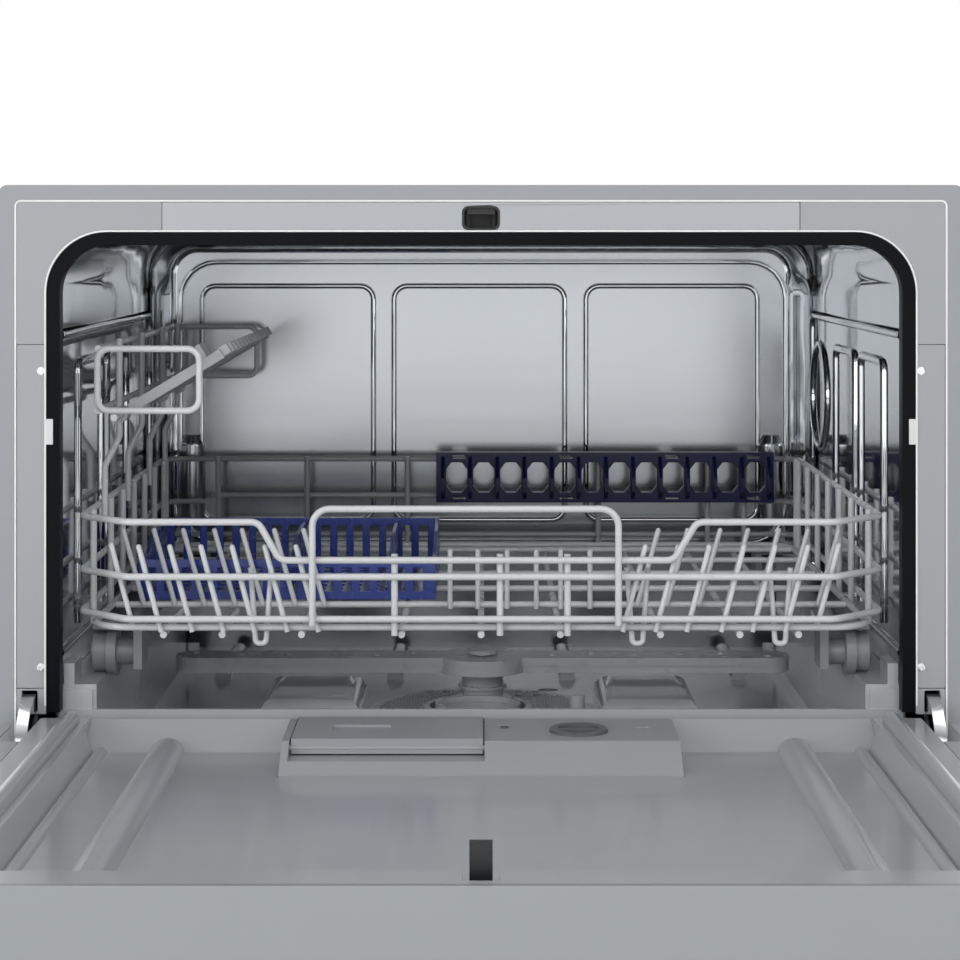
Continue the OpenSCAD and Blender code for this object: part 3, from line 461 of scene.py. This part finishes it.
def wire_axes(node):
    """The two ends of each straight wire of a node, from the middle of its two end rings."""
    ring_share = 0.3  # points within this share of the length belong to an end's ring
    ends = []
    for part in loose_parts(node):
        low = Vector(min(part, key=lambda p: (round(p.z, 5), p.x, p.y)))
        far = max(part, key=lambda p: (p - low).length)
        near = max(part, key=lambda p: (p - far).length)
        reach = ring_share * (far - near).length
        rings = [[p for p in part if (p - end).length < reach] for end in (near, far)]
        ends.append([sum(ring, Vector()) / len(ring) for ring in rings])
    return ends


# ---- Repeated details, made with Geometry Nodes ----


def new_tree(name, sockets):
    """An empty Geometry Nodes tree with its named inputs, and its input and output nodes."""
    tree = bpy.data.node_groups.new(name, "GeometryNodeTree")
    tree.interface.new_socket("Geometry", in_out="INPUT", socket_type="NodeSocketGeometry")
    for label, kind, value in sockets:
        made = tree.interface.new_socket(label, in_out="INPUT", socket_type=kind)
        if value is not None:
            made.default_value = value
    tree.interface.new_socket("Geometry", in_out="OUTPUT", socket_type="NodeSocketGeometry")
    return tree, add(tree, "NodeGroupInput"), add(tree, "NodeGroupOutput")


def close_tree(tree, start, instances, end):
    """Every tree ends with real meshes that carry the material."""
    real = add(tree, "GeometryNodeRealizeInstances", None, {"Geometry": instances})
    smooth = add(tree, "GeometryNodeSetShadeSmooth", None, {"Geometry": real.outputs["Geometry"]})
    painted = add(tree, "GeometryNodeSetMaterial", None, {
        "Geometry": smooth.outputs["Geometry"], "Material": start.outputs["Material"]})
    tree.links.new(painted.outputs["Geometry"], end.inputs["Geometry"])


def grown(name, points, tree, values, body, edges=()):
    """Runs a tree on points or paths, keeps the plain mesh and lets it ride on a body."""
    mesh = bpy.data.meshes.new(name + "_points")
    mesh.from_pydata([tuple(p) for p in points], list(edges), [])
    seed = bpy.data.objects.new(name + "_points", mesh)
    bpy.context.scene.collection.objects.link(seed)
    modifier = seed.modifiers.new("Grow", "NODES")
    modifier.node_group = tree
    for item in tree.interface.items_tree:
        if item.item_type == "SOCKET" and item.in_out == "INPUT" and item.name in values:
            modifier[item.identifier] = values[item.name]
    bpy.context.view_layer.update()
    evaluated = seed.evaluated_get(bpy.context.evaluated_depsgraph_get())
    mesh = bpy.data.meshes.new_from_object(evaluated)
    mesh.name = name
    bpy.data.objects.remove(seed)
    return carried(name, mesh, body)


def bead_tree():
    """A small ball on every point: the tines' tips and the ribs' ends."""
    tree, start, end = new_tree("Beads", [
        ("Radius", "NodeSocketFloat", 0.0016), ("Segments", "NodeSocketInt", 12),
        ("Rings", "NodeSocketInt", 6), ("Material", "NodeSocketMaterial", None)])
    ball = add(tree, "GeometryNodeMeshUVSphere", None, {
        "Segments": start.outputs["Segments"], "Rings": start.outputs["Rings"],
        "Radius": start.outputs["Radius"]})
    placed = add(tree, "GeometryNodeInstanceOnPoints", None, {
        "Points": start.outputs["Geometry"], "Instance": ball.outputs["Mesh"]})
    close_tree(tree, start, placed.outputs["Instances"], end)
    return tree


def disc_tree():
    """A low turned disc on every point, facing along the given turn: screw heads, and the black
    discs of painted shade for the filter's holes.
    """
    tree, start, end = new_tree("Discs", [
        ("Radius", "NodeSocketFloat", 0.004), ("Top radius", "NodeSocketFloat", 0.003),
        ("Height", "NodeSocketFloat", 0.0015), ("Sides", "NodeSocketInt", 16),
        ("Turn", "NodeSocketVector", (0.0, 0.0, 0.0)), ("Material", "NodeSocketMaterial", None)])
    disc = add(tree, "GeometryNodeMeshCone", None, {
        "Vertices": start.outputs["Sides"], "Radius Top": start.outputs["Top radius"],
        "Radius Bottom": start.outputs["Radius"], "Depth": start.outputs["Height"]})
    placed = add(tree, "GeometryNodeInstanceOnPoints", None, {
        "Points": start.outputs["Geometry"], "Instance": disc.outputs["Mesh"],
        "Rotation": start.outputs["Turn"]})
    close_tree(tree, start, placed.outputs["Instances"], end)
    return tree


def ridge_tree():
    """A round bar swept along every path: pressed ridges, the painted highlight round the opening,
    and the lens.
    """
    tree, start, end = new_tree("Ridges", [
        ("Radius", "NodeSocketFloat", 0.0033), ("Sides", "NodeSocketInt", 16),
        ("Material", "NodeSocketMaterial", None)])
    path = add(tree, "GeometryNodeMeshToCurve", None, {"Mesh": start.outputs["Geometry"]})
    ring = add(tree, "GeometryNodeCurvePrimitiveCircle", None, {
        "Resolution": start.outputs["Sides"], "Radius": start.outputs["Radius"]})
    swept = add(tree, "GeometryNodeCurveToMesh", None, {
        "Curve": path.outputs["Curve"], "Profile Curve": ring.outputs["Curve"],
        "Fill Caps": True})
    close_tree(tree, start, swept.outputs["Mesh"], end)
    return tree


def ridge(name, paths, radius, sides, finish, body, slot):
    """Sweeps a round bar, its radius in metres, along paths given as (points, closed)."""
    points, edges = joined(paths)
    return grown(name, points, ridge_tree(), {
        "Radius": radius, "Sides": sides, "Material": bpy.data.materials[finish]},
        body, edges)


# ---- Operators ----


def props():
    return bpy.context.scene.dishwasher_sizes, bpy.context.scene.dishwasher_colours


class DISHWASHER_OT_stage(bpy.types.Operator):
    """Make the floor, the soft lights and the camera"""

    bl_idname = "dishwasher.stage"
    bl_label = "Stage"

    def execute(self, context):
        sizes, colours = props()
        self.floor(context.scene, sizes.stage_size / 2, colours.floor)
        self.world(context.scene)
        self.lamps(context.scene)
        self.camera(context.scene, sizes)
        context.scene.view_settings.view_transform = "Standard"
        return {"FINISHED"}

    def floor(self, scene, half, colour):
        """A pale floor that glows a little where the camera, gloss or glass sees it, so that it
        goes over into the white room and still keeps the machine's shadow."""
        glow_strength, floor_roughness = 0.4, 0.7
        mesh = bpy.data.meshes.new("floor")
        corners = [(-half, -half, 0), (half, -half, 0), (half, half, 0), (-half, half, 0)]
        mesh.from_pydata(corners, [], [(0, 1, 2, 3)])
        floor = bpy.data.objects.new("floor", mesh)
        scene.collection.objects.link(floor)
        material = bpy.data.materials.new("stage_floor")
        material.use_nodes = True
        tree = material.node_tree
        shader = tree.nodes["Principled BSDF"]
        path = add(tree, "ShaderNodeLightPath")
        seen = add(tree, "ShaderNodeMath", {"operation": "MAXIMUM"}, {
            0: path.outputs["Is Camera Ray"], 1: path.outputs["Is Glossy Ray"]})
        seen = add(tree, "ShaderNodeMath", {"operation": "MAXIMUM"}, {
            0: seen.outputs["Value"], 1: path.outputs["Is Transmission Ray"]})
        glow = add(tree, "ShaderNodeMath", {"operation": "MULTIPLY"}, {
            0: seen.outputs["Value"], 1: glow_strength})
        shader.inputs["Emission Color"].default_value = (1, 1, 1, 1)
        tree.links.new(glow.outputs["Value"], shader.inputs["Emission Strength"])
        shader.inputs["Base Color"].default_value = colour
        shader.inputs["Roughness"].default_value = floor_roughness
        mesh.materials.append(material)

    def world(self, scene):
        """Plain soft light, and a white room where the camera, gloss or glass looks past the
        floor. The room's front is dim behind its soft box, which is what the steel mirrors."""
        soft_light, white_room, dim_front = 0.22, 1.0, 0.16
        white, blue_grey = (1, 1, 1, 1), (0.34, 0.41, 0.5, 1)  # linear
        all_dim, all_white = -0.8, -0.3  # how far forward a ray points, along y
        world = bpy.data.worlds.new("studio")
        world.use_nodes = True
        tree = world.node_tree
        tree.nodes.clear()
        path = add(tree, "ShaderNodeLightPath")
        way = add(tree, "ShaderNodeSeparateXYZ", None, {
            "Vector": add(tree, "ShaderNodeTexCoord").outputs["Generated"]})
        room = add(tree, "ShaderNodeMapRange", {"interpolation_type": "SMOOTHSTEP"}, {
            "Value": way.outputs["Y"], "From Min": all_dim, "From Max": all_white,
            "To Min": 0.0, "To Max": 1.0})
        shine = add(tree, "ShaderNodeMath", {"operation": "MULTIPLY"}, {
            0: path.outputs["Is Glossy Ray"], 1: room.outputs["Result"]})
        seen = add(tree, "ShaderNodeMath", {"operation": "MAXIMUM"}, {
            0: path.outputs["Is Camera Ray"], 1: shine.outputs["Value"]})
        seen = add(tree, "ShaderNodeMath", {"operation": "MAXIMUM"}, {
            0: seen.outputs["Value"], 1: path.outputs["Is Transmission Ray"]})
        light, dark, bright = (
            add(tree, "ShaderNodeBackground", None, {"Color": colour, "Strength": strength})
            for colour, strength in ((white, soft_light), (blue_grey, dim_front),
                                     (white, white_room)))
        plain = add(tree, "ShaderNodeMixShader", None, {
            "Fac": path.outputs["Is Glossy Ray"], 1: light.outputs["Background"],
            2: dark.outputs["Background"]})
        mixed = add(tree, "ShaderNodeMixShader", None, {
            "Fac": seen.outputs["Value"], 1: plain.outputs["Shader"],
            2: bright.outputs["Background"]})
        add(tree, "ShaderNodeOutputWorld", None, {"Surface": mixed.outputs["Shader"]})
        scene.world = world

    def lamps(self, scene):
        # Each soft box: place, target, width, height and power in watts.
        for name, spot, target, width, height, power in (
            ("front_box", (0.0, -3.3, 1.2), (0, 0.1, 0.3), 3.8, 2.3, 38),
            ("high_box", (0.0, -2.6, 2.0), (0, 0, 0.2), 2.2, 1.0, 12),
            ("left_box", (-2.3, -2.2, 0.9), (0, 0.2, 0.3), 0.9, 1.2, 26),
            ("right_box", (2.6, -1.9, 1.5), (0, 0, 0.2), 1.0, 1.8, 14),
            ("top_box", (0.0, 0.1, 3.0), (0, 0, 0.2), 2.4, 2.4, 16),
            ("rear_left_box", (-2.3, 2.5, 1.7), (0, 0.1, 0.2), 1.5, 1.5, 24),
            ("rear_right_box", (2.3, 2.5, 1.7), (0, 0.1, 0.2), 1.5, 1.5, 24),
        ):
            lamp = bpy.data.lights.new(name, "AREA")
            lamp.shape = "RECTANGLE"
            lamp.size, lamp.size_y, lamp.energy = width, height, power
            made = bpy.data.objects.new(name, lamp)
            made.location = spot
            aim = Vector(target) - Vector(spot)
            made.rotation_euler = aim.to_track_quat("-Z", "Y").to_euler()
            scene.collection.objects.link(made)

    def camera(self, scene, sizes):
        """Looks level at the front. The picture is taken from below the middle of the lens, as
        the door lies lower than the eye, and one pixel to the left."""
        lowered, moved = -0.25, -1 / PHOTO_SIDE
        camera = bpy.data.cameras.new("camera")
        camera.lens = sizes.lens
        camera.sensor_width = 36.0
        camera.shift_x = moved
        camera.shift_y = lowered
        camera.clip_end = 50.0
        eye = bpy.data.objects.new("camera", camera)
        eye.location = (0.0, FRONT - sizes.eye_distance, sizes.eye_height)
        eye.rotation_euler = (math.pi / 2, 0.0, 0.0)
        scene.collection.objects.link(eye)
        scene.camera = eye


class DISHWASHER_OT_finish_cad(bpy.types.Operator):
    """Give every CAD piece its finish and round its edges"""

    bl_idname = "dishwasher.finish_cad"
    bl_label = "Finishes"

    def execute(self, context):
        sizes, colours = props()
        made = finishes(colours)
        bare = set(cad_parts)
        for name, (nodes, edge) in DRESS.items():
            for node in nodes:
                dress(node, made[name], getattr(sizes, edge) if edge else None)
                bare.discard(node)
        if bare:
            raise RuntimeError(f"no finish for {sorted(bare)}")
        return {"FINISHED"}


class DISHWASHER_OT_pressed_ridges(bpy.types.Operator):
    """Draw the tub's pressed ridges full and round over the solids' plain steps"""

    bl_idname = "dishwasher.pressed_ridges"
    bl_label = "Pressed ridges"

    def execute(self, context):
        steel = ("drawn_stainless", "cabinet", "stainless")
        in_back, in_side = 2.2, 0.2  # from the walls' outer faces to the ridges' axes, in mm
        back_radius, side_radius = 1.9 * MM, 3.3 * MM
        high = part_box("tub_back_wall")[1]
        back = (high.y - FRONT) / MM - in_back
        side = high.x / MM - in_side
        # The back's outer frame and its three panels: two opposite corners, and their rounding.
        panels = [((-226, 179), (229, 390), 27), ((-210, 196), (-81, 372), 10),
                  ((-65.5, 196), (63, 372), 10), ((79, 196), (208, 372), 10)]
        paths = []
        for (left, low), (right, top), radius in panels:
            corners = [(left, low), (right, low), (right, top), (left, top)]
            path = rounded_path(corners, radius)
            paths.append(([place(p.x, back, p.y) for p in path], True))
        ridge("back_ridges", paths, back_radius, 16, *steel)
        # On both sides, in depth and height: the long bead and two arches, with their rounding.
        runs = [([(21, 352), (386, 352), (386, 168)], 9),
                ([(78, 176), (78, 333), (164, 333), (164, 176)], 7),
                ([(187, 176), (187, 333), (271, 333), (271, 176)], 7)]
        paths = []
        for way in (-1, 1):
            for corners, radius in runs:
                path = rounded_path(corners, radius, False)
                paths.append(([place(way * side, p.x, p.y) for p in path], False))
        # The round bead on the right side, behind the arches.
        depth, height, radius, steps = 347, 295, 37, 40
        turn = [2 * math.pi * i / steps for i in range(steps)]
        paths.append(([place(side, depth + radius * math.cos(a), height + radius * math.sin(a))
                       for a in turn], True))
        ridge("pressed_ridges", paths, side_radius, 20, *steel)
        return {"FINISHED"}


class DISHWASHER_OT_drawn_corner(bpy.types.Operator):
    """Blend the tub's sides and ceiling into its back with the long soft corner of a drawn tub"""

    bl_idname = "dishwasher.drawn_corner"
    bl_label = "Drawn corner"

    def execute(self, context):
        sheet, over_rollers = 1.0, 3
        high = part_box("tub_back_wall")[1]
        side, top = high.x / MM - sheet, high.z / MM - sheet
        back = (high.y - FRONT) / MM - sheet
        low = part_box("roller_rear_left")[1].z / MM + over_rollers
        radius = 30  # of the tub's two upper corners
        across, deep = 14.5, 50  # of the blend, on the back and along the walls
        inside, proud = 0.4, 0.1  # its hidden side lies in the sheets, its edges stand clear
        steps = 12
        # The wall line from the left side's foot over the ceiling to the right: place, and the
        # way that points into the tub.
        line = [((-side, low), (1, 0))]
        for way in (-1, 1):
            for k in range(steps + 1):
                angle = math.pi / 2 * (k / steps if way < 0 else 1 - k / steps)
                out = (way * math.cos(angle), math.sin(angle))
                centre = (way * (side - radius), top - radius)
                line.append(((centre[0] + radius * out[0], centre[1] + radius * out[1]),
                             (-out[0], -out[1])))
        line.append(((side, low), (-1, 0)))
        # The section: a quarter ellipse from the wall to the back, closed behind it.
        section = []
        for k in range(steps + 1):
            angle = math.pi / 2 * k / steps
            section.append((across * (1 - math.cos(angle)) - proud,
                            back - deep * (1 - math.sin(angle)) + proud))
        section += [(across, back + inside), (-inside, back + inside), (-inside, back - deep)]
        mesh = bmesh.new()
        rings = [[mesh.verts.new(place(p[0] + way[0] * n, depth, p[1] + way[1] * n))
                  for n, depth in section] for p, way in line]
        for first, second in zip(rings, rings[1:]):
            for i in range(len(section)):
                k = (i + 1) % len(section)
                mesh.faces.new((first[i], first[k], second[k], second[i]))
        mesh.faces.new(rings[0])
        mesh.faces.new(rings[-1])
        piece = built("drawn_corner", mesh, "drawn_stainless", "cabinet", True)
        piece.modifiers.new("Crease", "EDGE_SPLIT").split_angle = SMOOTH_ANGLE
        return {"FINISHED"}


class DISHWASHER_OT_door_caps(bpy.types.Operator):
    """Close the two pockets between the door's liner and the ends of its fascia"""

    bl_idname = "dishwasher.door_caps"
    bl_label = "Door caps"

    def execute(self, context):
        sizes, _ = props()
        wall, gap, thick = 3 * MM, 0.3 * MM, 1 * MM
        fascia_low, fascia_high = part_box("door_fascia")
        panel_low, panel_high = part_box("door_outer_panel")
        inner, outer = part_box("door_liner")[1].x + gap, fascia_high.x - wall - gap
        front, rear = fascia_low.y + wall + gap, panel_low.y - gap
        mesh = bmesh.new()
        for way in (-1, 1):
            left, right = sorted((way * inner, way * outer))
            add_block(mesh, (left, front, panel_high.z - thick), (right, rear, panel_high.z))
        piece = built("door_caps", mesh, "silver_paint", "door")
        edge = piece.modifiers.new("Edge", "BEVEL")
        edge.width, edge.segments = sizes.plate_edge, 2
        return {"FINISHED"}


class DISHWASHER_OT_liner_gussets(bpy.types.Operator):
    """Close the four corners where the liner's end slopes meet its side walls"""

    bl_idname = "dishwasher.liner_gussets"
    bl_label = "Liner gussets"

    def execute(self, context):
        below_rim, from_edge, thick = 0.5, 28.6, 1.3
        low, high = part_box("door_liner")
        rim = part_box("door_outer_panel")[1].z / MM - below_rim
        pan, wall = rim - PAN_DEPTH, high.x / MM - from_edge
        free, hinge = (low.y - FRONT) / MM - 3.3, -4  # depths from which the slopes are counted
        free_slope = [(free + 23, rim), (free + 40, rim), (free + 40, pan)]
        hinge_slope = [(hinge - 1, rim), (hinge - 27, rim), (hinge - 27, pan)]
        mesh = bmesh.new()
        for way in (-1, 1):
            for corners in (free_slope, hinge_slope):
                near, far = ([mesh.verts.new(place(way * x, depth, z)) for depth, z in corners]
                             for x in (wall, wall + thick))
                mesh.faces.new(near)
                mesh.faces.new(far)
                for i in range(3):
                    k = (i + 1) % 3
                    mesh.faces.new((near[i], near[k], far[k], far[i]))
        built("liner_gussets", mesh, "liner_pp", "door")
        return {"FINISHED"}


class DISHWASHER_OT_rib_ends(bpy.types.Operator):
    """Round off both ends of the ribs in the door's pan"""

    bl_idname = "dishwasher.rib_ends"
    bl_label = "Rib ends"

    def execute(self, context):
        low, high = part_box("door_liner")
        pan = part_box("door_outer_panel")[1].z / MM - PAN_DEPTH
        ends = ((low.y - FRONT) / MM + 35.7, -30)  # depths at which the ribs start and stop
        # The rib's distance from the liner's edge, the ball's drop below the pan, its radius
        # and its rings.
        for name, from_edge, drop, radius, rings in (
            ("rib_ends", 75, 2, 9.9, 16),
            ("side_rib_ends", 38, 1, 3.9, 10),
        ):
            x = high.x / MM - from_edge
            spots = [place(way * x, depth, pan - drop) for way in (-1, 1) for depth in ends]
            grown(name, spots, bead_tree(), {
                "Radius": radius * MM, "Segments": 2 * rings, "Rings": rings,
                "Material": bpy.data.materials["liner_pp"]}, "door")
        return {"FINISHED"}


class DISHWASHER_OT_ledge_ends(bpy.types.Operator):
    """Close the front ends of the two roller ledges above the sill"""

    bl_idname = "dishwasher.ledge_ends"
    bl_label = "Ledge ends"

    def execute(self, context):
        gap, wide, thick, front = 0.2, 19, 2.6, 11.6
        sill, ledge = 136.4, 148.4  # heights between which the end is open
        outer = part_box("tub_floor")[1].x / MM - gap
        mesh = bmesh.new()
        for way in (-1, 1):
            left, right = sorted((way * (outer - wide), way * outer))
            add_block(mesh, place(left, front, sill), place(right, front + thick, ledge))
        built("ledge_ends", mesh, "floor_pp", "cabinet")
        return {"FINISHED"}


class DISHWASHER_OT_opening_edge_highlight(bpy.types.Operator):
    """Roll a thin near-white bar round the covers' opening: a painted highlight on its edge"""

    bl_idname = "dishwasher.opening_lip"
    bl_label = "Opening lip"

    def execute(self, context):
        sizes, _ = props()
        beside, over_foot, radius, steps = 0.5, 4, 35, 14
        low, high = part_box("tub_gasket")
        edge, top, bottom = high.x / MM + beside, high.z / MM + beside, low.z / MM + over_foot
        corners = [(-edge, bottom), (-edge, top), (edge, top), (edge, bottom)]
        path = [place(p.x, 0, p.y) for p in rounded_path(corners, radius, False, steps)]
        # The bar's near-white finish is a painted highlight, not a bright part.
        ridge("opening_lip", [(path, False)], sizes.edge_highlight_radius, 12,
              "edge_line", "cabinet", "trim_plastic")
        return {"FINISHED"}


class DISHWASHER_OT_rinse_window(bpy.types.Operator):
    """Set the small dark lens of the rinse-aid level in its pocket"""

    bl_idname = "dishwasher.rinse_window"
    bl_label = "Rinse-aid window"

    def execute(self, context):
        centre, half, depth, radius, sunk = 13, 2.3, -31, 1.7, 0.9
        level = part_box("dispenser_housing")[1].z / MM - sunk
        path = [place(centre + way * half, depth, level) for way in (-1, 1)]
        ridge("rinse_window", [(path, False)], radius * MM, 12,
              "smoked_window", "door", "display_glass")
        return {"FINISHED"}


class DISHWASHER_OT_tine_tips(bpy.types.Operator):
    """Round the free ends of the tines"""

    bl_idname = "dishwasher.tine_tips"
    bl_label = "Tine tips"

    def execute(self, context):
        sizes, _ = props()
        tops = [max(ends, key=lambda p: p.z) for ends in wire_axes("plate_tines")]
        grown("tine_tips", tops, bead_tree(), {
            "Radius": sizes.tip_radius, "Rings": 8, "Material": bpy.data.materials["wire_vinyl"]},
            "basket")
        return {"FINISHED"}


class DISHWASHER_OT_back_screws(bpy.types.Operator):
    """Screw the back panel to the casing"""

    bl_idname = "dishwasher.back_screws"
    bl_label = "Back panel screws"

    def execute(self, context):
        sizes, _ = props()
        inset, head, crown = 9 * MM, 1.6 * MM, 0.7  # crown: the head's top against its rim
        gaps = 4  # between the screws along each edge
        low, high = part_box("back_panel")
        y = high.y + head / 2
        spots = []
        for i in range(gaps + 1):
            x = low.x + inset + (high.x - low.x - 2 * inset) * i / gaps
            spots += [(x, y, high.z - inset), (x, y, low.z + inset)]
        for i in range(1, gaps):
            z = low.z + (high.z - low.z) * i / gaps
            spots += [(low.x + inset, y, z), (high.x - inset, y, z)]
        grown("back_panel_screws", spots, disc_tree(), {
            "Radius": sizes.screw_radius, "Top radius": sizes.screw_radius * crown,
            "Height": head, "Sides": 16, "Turn": (-math.pi / 2, 0.0, 0.0),
            "Material": bpy.data.materials["bright_steel"]}, "cabinet")
        return {"FINISHED"}


class DISHWASHER_OT_filter_hole_shade(bpy.types.Operator):
    """Pierce the filter plate with rows of small holes"""
    # Lay rows of thin black discs on the filter plate: painted shade where its small holes are

    bl_idname = "dishwasher.filter_holes"
    bl_label = "Filter holes"

    def execute(self, context):
        sizes, _ = props()
        rim, bowl, hub = 68 * MM, 38 * MM, 21 * MM  # the holes lie inside the first, outside these
        level = 101.55 * MM  # just over the plate
        row_share = 0.866  # a triangular grid's rows, as a share of its pitch
        columns = 20
        low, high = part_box("filter_plate")
        bowl_low, bowl_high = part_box("filter_cylinder")
        hub_low, hub_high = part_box("spray_hub")
        middle = Vector(((low.x + high.x) / 2, (low.y + high.y) / 2))
        keep_out = [((bowl_low + bowl_high) / 2, bowl), ((hub_low + hub_high) / 2, hub)]
        step = sizes.hole_pitch
        rows = int(rim / (step * row_share)) + 1
        spots = []
        for row in range(-rows, rows + 1):
            for column in range(-columns, columns + 1):
                x = middle.x + (column + 0.5 * (row % 2)) * step
                y = middle.y + row * step * row_share
                if math.hypot(x - middle.x, y - middle.y) > rim:
                    continue
                if any(math.hypot(x - c.x, y - c.y) < r for c, r in keep_out):
                    continue
                spots.append((x, y, level))
        # Each disc is painted shade for a hole, not an opening in the plate.
        grown("filter_holes", spots, disc_tree(), {
            "Radius": sizes.hole_radius, "Top radius": sizes.hole_radius, "Height": 0.1 * MM,
            "Sides": 8, "Turn": (0.0, 0.0, 0.0), "Material": bpy.data.materials["black_pp"]},
            "cabinet")
        return {"FINISHED"}


class DISHWASHER_PT_panel(bpy.types.Panel):
    """Lists the pieces and the settings"""

    bl_label = "Dishwasher"
    bl_idname = "DISHWASHER_PT_panel"
    bl_space_type = "VIEW_3D"
    bl_region_type = "UI"
    bl_category = "Dishwasher"

    def draw(self, context):
        for operator in OPERATORS:
            self.layout.operator(operator.bl_idname)
        for group in (context.scene.dishwasher_sizes, context.scene.dishwasher_colours):
            for name in group.bl_rna.properties.keys():
                if name not in ("rna_type", "name"):
                    self.layout.prop(group, name)


OPERATORS = (
    DISHWASHER_OT_stage,
    DISHWASHER_OT_finish_cad,
    DISHWASHER_OT_pressed_ridges,
    DISHWASHER_OT_drawn_corner,
    DISHWASHER_OT_door_caps,
    DISHWASHER_OT_liner_gussets,
    DISHWASHER_OT_rib_ends,
    DISHWASHER_OT_ledge_ends,
    DISHWASHER_OT_opening_edge_highlight,
    DISHWASHER_OT_rinse_window,
    DISHWASHER_OT_tine_tips,
    DISHWASHER_OT_back_screws,
    DISHWASHER_OT_filter_hole_shade,
)
CLASSES = (DishwasherColours, DishwasherSizes, *OPERATORS, DISHWASHER_PT_panel)


def register():
    for made in CLASSES:
        bpy.utils.register_class(made)
    bpy.types.Scene.dishwasher_colours = bpy.props.PointerProperty(type=DishwasherColours)
    bpy.types.Scene.dishwasher_sizes = bpy.props.PointerProperty(type=DishwasherSizes)


def unregister():
    del bpy.types.Scene.dishwasher_sizes
    del bpy.types.Scene.dishwasher_colours
    for made in reversed(CLASSES):
        bpy.utils.unregister_class(made)


def main():
    register()
    bpy.ops.dishwasher.stage()
    bpy.ops.dishwasher.finish_cad()
    bpy.ops.dishwasher.pressed_ridges()
    bpy.ops.dishwasher.drawn_corner()
    bpy.ops.dishwasher.door_caps()
    bpy.ops.dishwasher.liner_gussets()
    bpy.ops.dishwasher.rib_ends()
    bpy.ops.dishwasher.ledge_ends()
    bpy.ops.dishwasher.opening_lip()
    bpy.ops.dishwasher.rinse_window()
    bpy.ops.dishwasher.tine_tips()
    bpy.ops.dishwasher.back_screws()
    bpy.ops.dishwasher.filter_holes()


if __name__ == "__main__":
    main()
